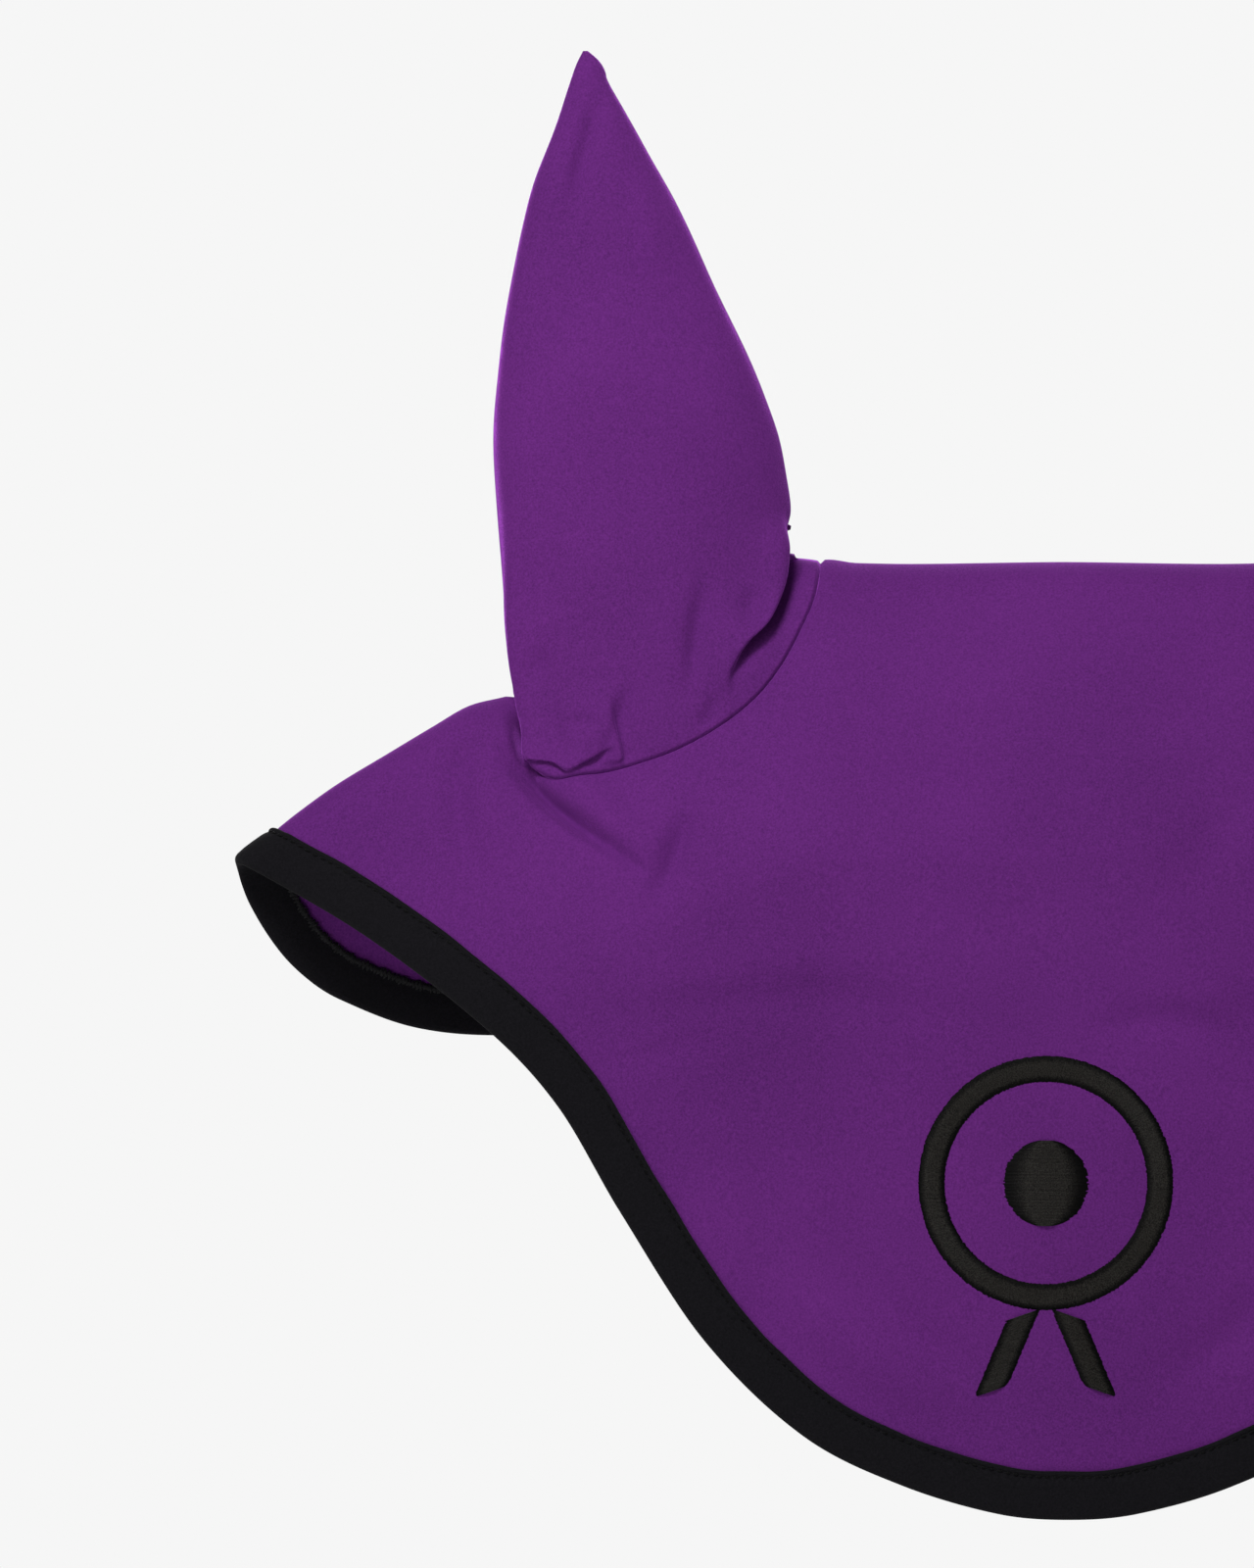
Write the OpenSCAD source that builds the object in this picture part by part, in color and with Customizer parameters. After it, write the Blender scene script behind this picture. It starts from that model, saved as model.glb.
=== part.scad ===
// Horse ear bonnet (fly mask) in the shape it takes on a head form.
// Frame: +Z up towards the ear tips, +X to the right as seen from in front, and the forehead
// flap faces -Y. The origin is on the underside of the crown, midway between the ears, where
// the bonnet sits on the horse's poll. "left" nodes are on the -X side. Millimetres.

/* [Body outline] */
// Half the distance between the two ear holes along the crown
crown_half = 77; // [72:1:82]
// Distance from the middle to the outer end of an ear hole
shoulder_half = 174; // [168:1:180]
// How far the outer end of an ear hole lies below the crown
shoulder_drop = 43; // [38:1:48]
// Half the width across the two side tips
tip_half = 262; // [250:1:275]
// How far the side tips lie below the crown
tip_drop = 95; // [88:1:102]
// Length of the forehead flap below the crown
flap_drop = 302; // [280:1:325]
// Length of the neck piece below the crown
neck_drop = 150; // [140:1:165]

/* [Body depth] */
// How far the forehead side bulges forward
front_depth = 48; // [40:1:60]
// How far the neck side bulges back
back_depth = 42; // [35:1:55]
// Height over which the body opens from its folded top line to full depth
fall = 95; // [80:1:110]
// Half thickness of the rounded fold along the top line
fold_half = 7; // [6:0.5:9]
// How far the lower end of the flap curves back
flap_tuck = 8; // [0:1:12]

/* [Ears] */
// Height of the ear tips above the crown
ear_height = 161; // [150:1:175]
// Drop of the ear hole's seam below the line between its ends, in front
hole_front = 39; // [34:1:42]
// The same drop at the back
hole_back = 30; // [24:1:36]
// Half the ear's thickness at the height of the crown
ear_depth = 24; // [20:1:28]

/* [Cloth and trim] */
// Thickness of the purple cloth
cloth = 1.2; // [1:0.1:1.5]
// Width of the edge binding
binding_w = 15.5; // [12:0.5:17]
// Thickness of one layer of the binding
binding_t = 1; // [0.8:0.1:1.2]
// Radius of the sewing thread
thread_r = 0.25; // [0.2:0.05:0.3]

/* [Emblem] */
// Sideways place of the emblem's centre
emblem_x = -7; // [-10:1:10]
// Height of the rosette's centre below the crown
emblem_drop = 194; // [185:1:200]
// Outer radius of the rosette's ring
emblem_r = 40; // [34:1:42]
// Width of the satin-stitched strokes
stroke = 8.5; // [7:0.5:10]

/* [Hidden] */

FRONT = -1;
BACK = 1;
PURPLE = [0.40, 0.16, 0.48];
BLACK = [0.08, 0.08, 0.10];
CROWN_Z = cloth;          // outer surface of the crown: its underside is at z = 0
GAP = 0.3;                // clearance between layers of cloth
SEAM_W = 5;               // width of a turned-in, overlocked seam allowance
SEAM_T = 1.8;             // its thickness, two layers of cloth pressed together
SEAM_GAP = 0.8;           // clearance between an allowance and the cloth that it hangs from
EDGE_INSET = binding_t + 0.8;  // the cloth's edge stops this far inside the binding's fold
TIP_ROUND = 1.09;         // share of tip_half at which the body's depth would close to nothing
SEAM_END = 6;             // a top line's allowance stops this far short of an ear hole
BODY_ROWS = 18;
HOLE_COLS = 12;           // columns of the mesh across an ear hole
EAR_ROWS = 18;

// ---- curves -------------------------------------------------------------------------------
function mix(a, b, t) = a + (b - a) * t;
function unit(v) = v / norm(v);

// A smooth curve through [x, z] points with rising x, read off at x.
function slope_at(p, i) =
    let (a = max(i - 1, 0), b = min(i + 1, len(p) - 1)) (p[b][1] - p[a][1]) / (p[b][0] - p[a][0]);
function span_of(p, x, i = 0) = i >= len(p) - 2 || x <= p[i + 1][0] ? i : span_of(p, x, i + 1);
function curve(p, x) =
    let (
        i = span_of(p, x),
        h = p[i + 1][0] - p[i][0],
        t = (x - p[i][0]) / h,
        a = slope_at(p, i) * h,
        b = slope_at(p, i + 1) * h
    )
    (2 * t ^ 3 - 3 * t ^ 2 + 1) * p[i][1] + (t ^ 3 - 2 * t ^ 2 + t) * a
    + (3 * t ^ 2 - 2 * t ^ 3) * p[i + 1][1] + (t ^ 3 - t ^ 2) * b;

// Top line of the body: the crown, the shoulder that the ear hole cuts away, and the side slope.
TOP_LINE = [
    [-crown_half / 2, 0], [0, 0], [crown_half * 0.55, 0], [crown_half, -1],
    [mix(crown_half, shoulder_half, 0.34), -shoulder_drop * 0.33],
    [mix(crown_half, shoulder_half, 0.66), -shoulder_drop * 0.68],
    [shoulder_half, -shoulder_drop],
    [mix(shoulder_half, tip_half, 0.28), -mix(shoulder_drop, tip_drop, 0.17)],
    [mix(shoulder_half, tip_half, 0.64), -mix(shoulder_drop, tip_drop, 0.53)],
    [tip_half, -tip_drop]
];
// Lower edges, as [share of tip_half, share of the way from the side tips to the lowest point].
FLAP_EDGE = [
    [-0.083, 0.991], [0, 1], [0.083, 0.991], [0.201, 0.947], [0.319, 0.87], [0.438, 0.723],
    [0.538, 0.529], [0.61, 0.376], [0.69, 0.265], [0.84, 0.117], [1, 0]
];
NECK_EDGE = [
    [-0.35, 1], [0, 1], [0.35, 1], [0.7, 1], [0.79, 0.945], [0.875, 0.787], [0.911, 0.68],
    [0.947, 0.509], [0.982, 0.24], [1, 0]
];

function top_z(x) = CROWN_Z + curve(TOP_LINE, abs(x));
function edge_z(side, x) =
    let (s = abs(x) / tip_half)
    CROWN_Z - (side == FRONT
        ? mix(tip_drop, flap_drop, curve(FLAP_EDGE, s))
        : mix(tip_drop, neck_drop, curve(NECK_EDGE, s)));

// ---- the body's surface -------------------------------------------------------------------
function half_depth(side, x) =
    (side == FRONT ? front_depth : back_depth) * sqrt(1 - (x / (TIP_ROUND * tip_half)) ^ 2);
// Half thickness of the body at a share u of `fall` below its top line: a tight rounded fold
// that opens out into a wider, flatter bulge.
FOLD_SHARE = 0.1;
function half_thickness(side, x, u) =
    let (k = min(max(u, 0), 1), f = min(k / FOLD_SHARE, 1))
    fold_half * sqrt(1 - (1 - f) ^ 2) + (half_depth(side, x) - fold_half) * (1 - (1 - k) ^ 1.5);
function tuck(side, z) =
    side == FRONT && z < -neck_drop ? flap_tuck * ((z + neck_drop) / (flap_drop - neck_drop)) ^ 2 : 0;
function body_y(side, x, z) =
    side * half_thickness(side, x, (top_z(x) - z) / fall) + tuck(side, z);
function body(side, x, z) = [x, body_y(side, x, z), z];

// The same surface as an implicit function, whose gradient is the outward normal even where
// the cloth turns over at the top line.
function level(side, p) =
    let (u = (top_z(p[0]) - p[2]) / fall)
    (p[1] - tuck(side, p[2])) ^ 2
    - (u < 0 ? 2 * fold_half ^ 2 * u / FOLD_SHARE : half_thickness(side, p[0], u) ^ 2);
STEP = 0.02;
function gradient(side, p) = [
    for (k = [0:2])
        let (d = [k == 0 ? STEP : 0, k == 1 ? STEP : 0, k == 2 ? STEP : 0])
        (level(side, p + d) - level(side, p - d)) / (2 * STEP)
];
function body_normal(side, p) = unit(gradient(side, p));
function onto_body(side, p, n = 4) =
    n == 0 ? p : let (g = gradient(side, p)) onto_body(side, p - g * level(side, p) / (g * g), n - 1);
// A point at a distance outwards from the surface, above or below (x, z) as seen from in front.
function over_body(side, x, z, out) = let (p = body(side, x, z)) p + body_normal(side, p) * out;

// ---- the ear's surface --------------------------------------------------------------------
HOLE_MID = (crown_half + shoulder_half) / 2;
HOLE_HALF = (shoulder_half - crown_half) / 2;
// The left ear hole's seam. turn runs from 0 at its inner end, round the front (0 to 180) and
// back (180 to 360); the hole is fuller towards its outer end.
function hole_xz(turn) =
    let (
        c = cos(turn),
        x = -HOLE_MID + HOLE_HALF * c,
        ends = mix(top_z(shoulder_half), top_z(crown_half), (1 + c) / 2),
        drop = turn <= 180 ? hole_front : hole_back
    )
    [x, ends - drop * abs(sin(turn)) ^ (1 - 0.3 * (1 - c) / 2)];
function hole_point(turn) =
    let (q = hole_xz(turn), side = turn <= 180 ? FRONT : BACK)
    [q[0], abs(sin(turn)) < 1e-6 ? 0 : body_y(side, q[0], q[1]), q[1]];

// Edges and half thickness of the ear above the crown, as [share of ear_height, millimetres].
EAR_OUTER = [
    [0, -178], [0.08, -179.4], [0.22, -180.4], [0.35, -179.2], [0.47, -177], [0.58, -173.6],
    [0.7, -169], [0.81, -163.2], [0.93, -157], [1, -152.5]
];
EAR_INNER = [
    [0, -84.5], [0.1, -86.3], [0.16, -87.7], [0.24, -90], [0.31, -93.6], [0.39, -98.9],
    [0.54, -110.7], [0.7, -122.1], [0.81, -132.4], [0.93, -143.2], [1, -148.5]
];
EAR_THICK = [
    [0, ear_depth], [0.15, ear_depth * 0.8], [0.4, ear_depth * 0.66], [0.7, ear_depth * 0.45],
    [0.9, ear_depth * 0.22], [1, ear_depth * 0.08]
];
EAR_JOIN = 0.12;  // share of ear_height at which the sleeve has become a plain oval
function oval(turn, h) =
    let (a = curve(EAR_INNER, h), b = curve(EAR_OUTER, h))
    [mix(b, a, (1 + cos(turn)) / 2),
     -curve(EAR_THICK, h) * sign(sin(turn)) * abs(sin(turn)) ^ 0.85, CROWN_Z + ear_height * h];
// From the seam up to EAR_JOIN the surface follows a cubic whose ends match the seam and oval.
// At the hole's inner end the sleeve first runs outwards along the crown and then turns up.
function ear_point(turn, v) =
    v >= 1 / 3
    ? oval(turn, mix(EAR_JOIN, 1, (v - 1 / 3) * 1.5))
    : let (
        t = v * 3,
        a = hole_point(turn),
        b = oval(turn, EAR_JOIN),
        rise = b[2] - a[2],
        tucked = max(cos(turn), 0) ^ 3,
        leave = [-1.8 * tucked * rise, (b[1] - a[1]) * 0.4, rise * (1 - tucked)],
        arrive = (oval(turn, EAR_JOIN + 0.01) - b) / (0.01 * ear_height) * rise
    )
    (2 * t ^ 3 - 3 * t ^ 2 + 1) * a + (t ^ 3 - 2 * t ^ 2 + t) * leave
    + (3 * t ^ 2 - 2 * t ^ 3) * b + (t ^ 3 - t ^ 2) * arrive;
function ear_normal(turn, v) =
    let (
        e = 0.004,
        across = ear_point(turn - 1, v) - ear_point(turn + 1, v),
        up = ear_point(turn, min(v + e, 1)) - ear_point(turn, max(v - e, 0))
    )
    unit(cross(across, up));
function over_ear(turn, v, out) = ear_point(turn, v) + ear_normal(turn, v) * out;

// ---- solids from points -------------------------------------------------------------------
// A closed sheet between two grids of points, grid[column][row]. With the columns running to
// the right and the rows running up, `near` is the side that faces the viewer.
module between(near, far) {
    cols = len(near);
    rows = len(near[0]);
    base = cols * rows;
    function at(i, j) = i * rows + j;
    polyhedron(
        points = concat([for (c = near) each c], [for (c = far) each c]),
        faces = concat(
            [for (i = [0:cols - 2], j = [0:rows - 2]) each [
                [at(i, j), at(i + 1, j + 1), at(i + 1, j)],
                [at(i, j), at(i, j + 1), at(i + 1, j + 1)],
                [base + at(i, j), base + at(i + 1, j), base + at(i + 1, j + 1)],
                [base + at(i, j), base + at(i + 1, j + 1), base + at(i, j + 1)]
            ]],
            [for (i = [0:cols - 2]) each [
                [at(i, 0), at(i + 1, 0), base + at(i + 1, 0)],
                [at(i, 0), base + at(i + 1, 0), base + at(i, 0)],
                [at(i + 1, rows - 1), at(i, rows - 1), base + at(i, rows - 1)],
                [at(i + 1, rows - 1), base + at(i, rows - 1), base + at(i + 1, rows - 1)]
            ]],
            [for (j = [0:rows - 2]) each [
                [at(0, j + 1), at(0, j), base + at(0, j)],
                [at(0, j + 1), base + at(0, j), base + at(0, j + 1)],
                [at(cols - 1, j), at(cols - 1, j + 1), base + at(cols - 1, j + 1)],
                [at(cols - 1, j), base + at(cols - 1, j + 1), base + at(cols - 1, j)]
            ]]
        )
    );
}

// A tube whose cross-sections are given as rings of points. A closed tube has no end caps.
module loft(rings, closed = false) {
    n = len(rings);
    m = len(rings[0]);
    function at(i, j) = (i % n) * m + j % m;
    polyhedron(
        points = [for (r = rings) each r],
        faces = concat(
            [for (i = [0:n - (closed ? 1 : 2)], j = [0:m - 1]) each [
                [at(i, j), at(i, j + 1), at(i + 1, j + 1)],
                [at(i, j), at(i + 1, j + 1), at(i + 1, j)]
            ]],
            closed ? [] : [[for (j = [m - 1:-1:0]) j], [for (j = [0:m - 1]) (n - 1) * m + j]]
        )
    );
}

// ---- body panels --------------------------------------------------------------------------
// Columns of a panel from the left tip to the right one: side slope, ear hole, crown and back.
TIP_TURN = 12;  // a panel starts this many degrees round the binding's loop from the tip
SLOPE_COLS = 13;
CROWN_COLS = 6;
SHOULDER_TURN = acos(shoulder_half / tip_half);
function left_columns(side) = concat(
    [for (k = [0:SLOPE_COLS - 1])
        let (x = tip_half * cos(mix(TIP_TURN, SHOULDER_TURN, k / SLOPE_COLS)))
        [-x, top_z(x)]],
    [for (k = [HOLE_COLS:-1:0])
        let (turn = 180 * k / HOLE_COLS)
        hole_xz(side == FRONT ? turn : 360 - turn)],
    [for (k = [1:CROWN_COLS])
        let (x = crown_half * (1 - k / CROWN_COLS))
        [-x, top_z(x)]]
);
function panel_columns(side) =
    let (l = left_columns(side)) concat(l, [for (k = [len(l) - 2:-1:0]) [-l[k][0], l[k][1]]]);
// A panel's lower edge lies inside the binding's fold.
function panel_foot(side, x) =
    let (turn = acos(-x / tip_half))
    band_point(side == FRONT ? turn : 360 - turn, EDGE_INSET, 0);

module panel(side) {
    grid = [
        for (c = panel_columns(side))
            let (foot = panel_foot(side, c[0]))
            [for (j = [0:BODY_ROWS])
                let (down = (1 - j / BODY_ROWS) ^ 1.5)
                body(side, mix(c[0], foot[0], down), mix(c[1], foot[2], down))]
    ];
    inner = [for (c = grid) [for (p = c) p - body_normal(side, p) * cloth]];
    if (side == FRONT) between(grid, inner);
    else between(inner, grid);
}
module front_panel() { color(PURPLE) panel(FRONT); }
module back_panel() { color(PURPLE) panel(BACK); }

// ---- turned-in seams ----------------------------------------------------------------------
// A strip that hangs inside the body from its top line, from one x to another.
TOP_SEAM_PARTS = 10;
module top_line_seam(x0, x1) {
    loft([
        for (k = [0:TOP_SEAM_PARTS])
            let (
                x = mix(x0, x1, k / TOP_SEAM_PARTS),
                slope = top_z(x + 0.5) - top_z(x - 0.5),
                down = unit([slope, 0, -1])
            )
            [for (c = [[-1, 0], [1, 0], [1, 1], [-1, 1]])
                [x, c[0] * SEAM_T / 2, top_z(x)] + down * (cloth + SEAM_GAP + c[1] * SEAM_W)]
    ]);
}
module crown_seam() {
    color(PURPLE) top_line_seam(-crown_half + SEAM_END, crown_half - SEAM_END);
}
module side_seam_left() {
    color(PURPLE) top_line_seam(-tip_half + binding_w + SEAM_W, -shoulder_half - SEAM_END);
}
module side_seam_right() { color(PURPLE) mirror([1, 0, 0]) side_seam_left(); }

// ---- ears ---------------------------------------------------------------------------------
EAR_GAP = 0.01;   // the ear's cloth starts this share of its height above the hole's seam
EAR_END = 0.995;  // and ends at this share, where it is TIP_CLOTH thick
TIP_CLOTH = 0.3;
TIP_THINNING = 6;  // millimetres of thickness lost over the ear's whole height, if not for `cloth`
module ear_panel(side) {
    turns = [for (k = [0:HOLE_COLS]) 180 + side * 180 * k / HOLE_COLS];
    rows = [for (j = [0:EAR_ROWS]) mix(EAR_GAP, EAR_END, j / EAR_ROWS)];
    // The two panels meet on the ear's edges, so no point of one crosses to the other's side.
    function inner_point(a, v) =
        let (p = over_ear(a, v, -min(cloth, TIP_CLOTH + TIP_THINNING * (1 - v))))
        abs(sin(a)) < 1e-6 ? [p[0], 0, p[2]] : p;
    outer = [for (a = turns) [for (v = rows) ear_point(a, v)]];
    inner = [for (a = turns) [for (v = rows) inner_point(a, v)]];
    if (side == FRONT) between(outer, inner);
    else between(inner, outer);
}
module ear_left_front() { color(PURPLE) ear_panel(FRONT); }
module ear_left_back() { color(PURPLE) ear_panel(BACK); }
module ear_right_front() { color(PURPLE) mirror([1, 0, 0]) ear_panel(FRONT); }
module ear_right_back() { color(PURPLE) mirror([1, 0, 0]) ear_panel(BACK); }

// The overlocked allowance inside an ear's two edges, trimmed narrower towards the tip.
EAR_SEAM_PARTS = 14;
EAR_SEAM_START = 0.3;
EAR_SEAM_END = 0.9;
EAR_SEAM_TRIM = 0.4;
module ear_edge_seam(turn) {
    towards = turn == 0 ? -1 : 1;
    loft([
        for (k = [0:EAR_SEAM_PARTS])
            let (
                share = k / EAR_SEAM_PARTS,
                p = ear_point(turn, mix(EAR_SEAM_START, EAR_SEAM_END, share)),
                near = cloth + SEAM_GAP,
                wide = SEAM_W * (1 - EAR_SEAM_TRIM * share)
            )
            [for (c = [[0, -1], [0, 1], [1, 1], [1, -1]])
                [p[0] + towards * (near + c[0] * wide), towards * c[1] * SEAM_T / 2, p[2]]]
    ]);
}
module ear_left_seam() { color(PURPLE) { ear_edge_seam(0); ear_edge_seam(180); } }
module ear_right_seam() { color(PURPLE) mirror([1, 0, 0]) { ear_edge_seam(0); ear_edge_seam(180); } }

// The allowance round an ear hole, pressed down against the inside of the body.
BASE_SEAM_TURNS = [for (k = [1:13]) k * 180 / 14];
BASE_SEAM_NEAR = 2.8;  // its near and far edges, from the seam
BASE_SEAM_FAR = 7;
module hole_seam(side) {
    near = cloth + SEAM_GAP;
    far = near + SEAM_T / 2;
    a = side == FRONT ? near : far;
    b = side == FRONT ? far : near;
    corners = [[BASE_SEAM_NEAR, a], [BASE_SEAM_FAR, a], [BASE_SEAM_FAR, b], [BASE_SEAM_NEAR, b]];
    loft([
        for (k = BASE_SEAM_TURNS)
            let (
                turn = side == FRONT ? k : 360 - k,
                p = hole_point(turn),
                ahead = hole_point(turn + side * 2) - hole_point(turn - side * 2),
                down = unit(cross(ahead, body_normal(side, p))) * -side
            )
            [for (c = corners)
                let (q = onto_body(side, p + down * c[0]))
                q - body_normal(side, q) * c[1]]
    ]);
}
module ear_left_base_seam() { color(PURPLE) { hole_seam(FRONT); hole_seam(BACK); } }
module ear_right_base_seam() { color(PURPLE) mirror([1, 0, 0]) { hole_seam(FRONT); hole_seam(BACK); } }

// ---- edge binding -------------------------------------------------------------------------
// The turns at which the binding has a section: every 3 degrees, and closer at the two tips.
BAND_TURNS = [for (t = [0:1.5:359]) if (t % 3 == 0 || abs(sin(t)) < sin(TIP_TURN)) t];
// One loop round both lower edges. turn runs from 0 at the left tip, along the flap's edge to
// 180 at the right tip, and back along the neck's edge.
function loop_side(turn) = (turn + 360) % 360 < 180 ? FRONT : BACK;
function loop_point(turn) =
    let (x = -tip_half * cos(turn), side = loop_side(turn), at_tip = abs(sin(turn)) < 1e-6)
    [x, at_tip ? 0 : body_y(side, x, edge_z(side, x)), edge_z(side, x)];
// The point `inward` from the binding's fold and `out` from the cloth's outer surface.
function band_point(turn, inward, out) =
    let (
        side = loop_side(turn),
        p = loop_point(turn),
        n = body_normal(side, p),
        ahead = unit(loop_point(turn + 1) - loop_point(turn - 1)),
        q = onto_body(side, p + unit(cross(n, ahead)) * inward)
    )
    q + body_normal(side, q) * out;
BAND_OUT = GAP + binding_t;
BAND_IN = -(cloth + GAP + binding_t);
NOSE = 1.6;                    // length over which the binding's fold is rounded
NOSE_IN = binding_t + 0.5;     // where its inside is flat again
BAND_SECTION = [
    [binding_w, GAP], [binding_w, BAND_OUT], [binding_w / 2, BAND_OUT], [NOSE, BAND_OUT],
    [NOSE / 4, BAND_OUT * 0.6], [0, -cloth / 2], [NOSE / 4, BAND_IN * 0.8], [NOSE, BAND_IN],
    [binding_w / 2, BAND_IN], [binding_w, BAND_IN], [binding_w, -cloth - GAP],
    [binding_w / 2, -cloth - GAP], [NOSE_IN, -cloth - GAP], [binding_t + GAP, -cloth / 2],
    [NOSE_IN, GAP], [binding_w / 2, GAP]
];
module edge_binding() {
    color(BLACK)
        loft([for (t = BAND_TURNS) [for (s = BAND_SECTION) band_point(t, s[0], s[1])]], closed = true);
}
// A line of thread laid on the binding, once round the loop.
THREAD_SIDES = 5;
TOPSTITCH_IN = 2.3;    // from the binding's edge to the line of stitches outside
UNDERSTITCH_IN = 1.6;  // and inside
module thread_round(inward, out) {
    loft([
        for (t = BAND_TURNS)
            [for (k = [0:THREAD_SIDES - 1])
                let (a = 360 * k / THREAD_SIDES)
                band_point(t, inward - thread_r * cos(a), out + thread_r * sin(a))]
    ], closed = true);
}
module binding_topstitch() {
    color(BLACK) thread_round(binding_w - TOPSTITCH_IN, BAND_OUT + GAP + thread_r);
}
module binding_understitch() {
    color(BLACK) thread_round(binding_w - UNDERSTITCH_IN, BAND_IN - GAP - thread_r);
}

// ---- embroidery ---------------------------------------------------------------------------
EMBLEM_LIFT = 0.25;  // clearance between the embroidery and the cloth
EMBLEM_T = 1.1;
// A point of the emblem, at an angle and distance from the rosette's centre.
function emblem_point(a, r, rise, out) =
    over_body(FRONT, emblem_x + r * sin(a), -emblem_drop + r * cos(a) * rise, EMBLEM_LIFT + out);

module emblem_ring() {
    mid = emblem_r - stroke / 2;
    profile = [[-0.5, 0], [-0.42, 0.6], [0, 1], [0.42, 0.6], [0.5, 0]];
    color(BLACK) loft([
        for (a = [0:9:359])
            [for (c = profile) emblem_point(a, mid + c[0] * stroke, 1, c[1] * EMBLEM_T)]
    ], closed = true);
}

CENTRE_SHARE = 0.34;  // the centre's radius as a share of the ring's
CENTRE_EDGE = 0.3;    // its thickness near its edge as a share of that in the middle
module emblem_centre() {
    r = emblem_r * CENTRE_SHARE;
    angles = [-82.5:15:82.5];
    rises = [-1:0.5:1];
    function thick(a) = EMBLEM_T * mix(CENTRE_EDGE, 1, cos(a));
    color(BLACK) between(
        [for (a = angles) [for (rise = rises) emblem_point(a, r, rise, thick(a))]],
        [for (a = angles) [for (rise = rises) emblem_point(a, r, rise, 0)]]
    );
}

// A ribbon tail that leaves the ring, splays outwards and ends in a notch.
TAIL_L = 24;
TAIL_W = stroke * 1.35;
TAIL_NOTCH = 5;
TAIL_ROOT = 7;       // half the distance between the two tails' tops
TAIL_SPLAY = 0.42;   // how far a tail goes sideways for each millimetre down
TAIL_GAP = 1.2;      // clearance between the ring and a tail
TAIL_ROWS = 5;
module emblem_tail(hand) {
    columns = [-1:0.5:1];
    function tail_point(u, j, out) =
        let (
            t = j / TAIL_ROWS,
            x = emblem_x + hand * (TAIL_ROOT + TAIL_SPLAY * TAIL_L * t) + u * TAIL_W / 2,
            down = emblem_r + TAIL_GAP + t * (TAIL_L - TAIL_NOTCH * (1 - abs(u)))
        )
        over_body(FRONT, x, -emblem_drop - down, EMBLEM_LIFT + out);
    function grid(share) = [
        for (u = columns)
            [for (j = [TAIL_ROWS:-1:0]) tail_point(u, j, share * EMBLEM_T * (1 - 0.5 * abs(u)))]
    ];
    between(grid(1), grid(0));
}
module emblem_tail_left() { color(BLACK) emblem_tail(-1); }
module emblem_tail_right() { color(BLACK) emblem_tail(1); }

// A rectangle of thin cloth on the inside of a panel, from one [x, z] corner to the other.
module inside_patch(side, low, high, thick, n) {
    function grid(depth) = [
        for (i = [0:n])
            [for (j = [0:n])
                over_body(side, mix(low[0], high[0], i / n), mix(low[1], high[1], j / n), -depth)]
    ];
    far = grid(cloth + GAP);
    near = grid(cloth + GAP + thick);
    if (side == FRONT) between(far, near);
    else between(near, far);
}
BACKING_MARGIN = 6;  // the stabiliser reaches this far beyond the ring
BACKING_FOOT = 30;   // and this far below it, behind the tails
BACKING_T = 0.5;
module emblem_backing() {
    reach = emblem_r + BACKING_MARGIN;
    low = [emblem_x - reach, -emblem_drop - emblem_r - BACKING_FOOT];
    high = [emblem_x + reach, -emblem_drop + reach];
    color([0.75, 0.74, 0.76]) inside_patch(FRONT, low, high, BACKING_T, 8);
}
LABEL_W = 30;
LABEL_H = 42;
LABEL_T = 0.4;
LABEL_GAP = 4;  // between the label and the binding
module care_label() {
    foot = -neck_drop + binding_w + LABEL_GAP;
    color("white") inside_patch(BACK, [-LABEL_W / 2, foot], [LABEL_W / 2, foot + LABEL_H], LABEL_T, 4);
}

front_panel();
back_panel();
crown_seam();
side_seam_left();
side_seam_right();
ear_left_front();
ear_left_back();
ear_left_seam();
ear_left_base_seam();
ear_right_front();
ear_right_back();
ear_right_seam();
ear_right_base_seam();
edge_binding();
binding_topstitch();
binding_understitch();
emblem_ring();
emblem_centre();
emblem_tail_left();
emblem_tail_right();
emblem_backing();
care_label();
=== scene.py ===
"""The looks of a horse ear bonnet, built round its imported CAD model.

Lengths are in millimetres in the part's own frame (+Z up, the forehead side faces -Y, left is -X),
until add_mesh() turns them into metres. Outlines and folds are points (x, z) as seen from in front,
with z measured from the top of the crown.
"""
import math

import bpy
import numpy as np
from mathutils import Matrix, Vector


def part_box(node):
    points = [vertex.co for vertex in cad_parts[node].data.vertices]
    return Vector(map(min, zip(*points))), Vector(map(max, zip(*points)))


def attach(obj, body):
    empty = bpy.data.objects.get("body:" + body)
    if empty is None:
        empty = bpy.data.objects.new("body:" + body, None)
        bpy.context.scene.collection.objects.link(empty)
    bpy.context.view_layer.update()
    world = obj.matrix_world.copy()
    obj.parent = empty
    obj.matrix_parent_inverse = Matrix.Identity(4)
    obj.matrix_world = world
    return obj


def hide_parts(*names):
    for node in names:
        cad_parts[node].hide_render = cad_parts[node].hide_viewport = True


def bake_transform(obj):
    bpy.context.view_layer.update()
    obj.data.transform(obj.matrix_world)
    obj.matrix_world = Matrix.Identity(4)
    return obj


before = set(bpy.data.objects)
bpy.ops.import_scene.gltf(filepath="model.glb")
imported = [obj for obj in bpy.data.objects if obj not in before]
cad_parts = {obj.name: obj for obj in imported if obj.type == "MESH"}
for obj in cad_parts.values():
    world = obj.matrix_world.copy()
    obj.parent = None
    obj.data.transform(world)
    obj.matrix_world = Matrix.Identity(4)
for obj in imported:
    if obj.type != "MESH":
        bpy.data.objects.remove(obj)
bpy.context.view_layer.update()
MM = 0.001
FRONT, BACK = -1, 1
LEFT, RIGHT = 1, -1  # a right-hand piece is a left-hand one with x turned over


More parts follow.
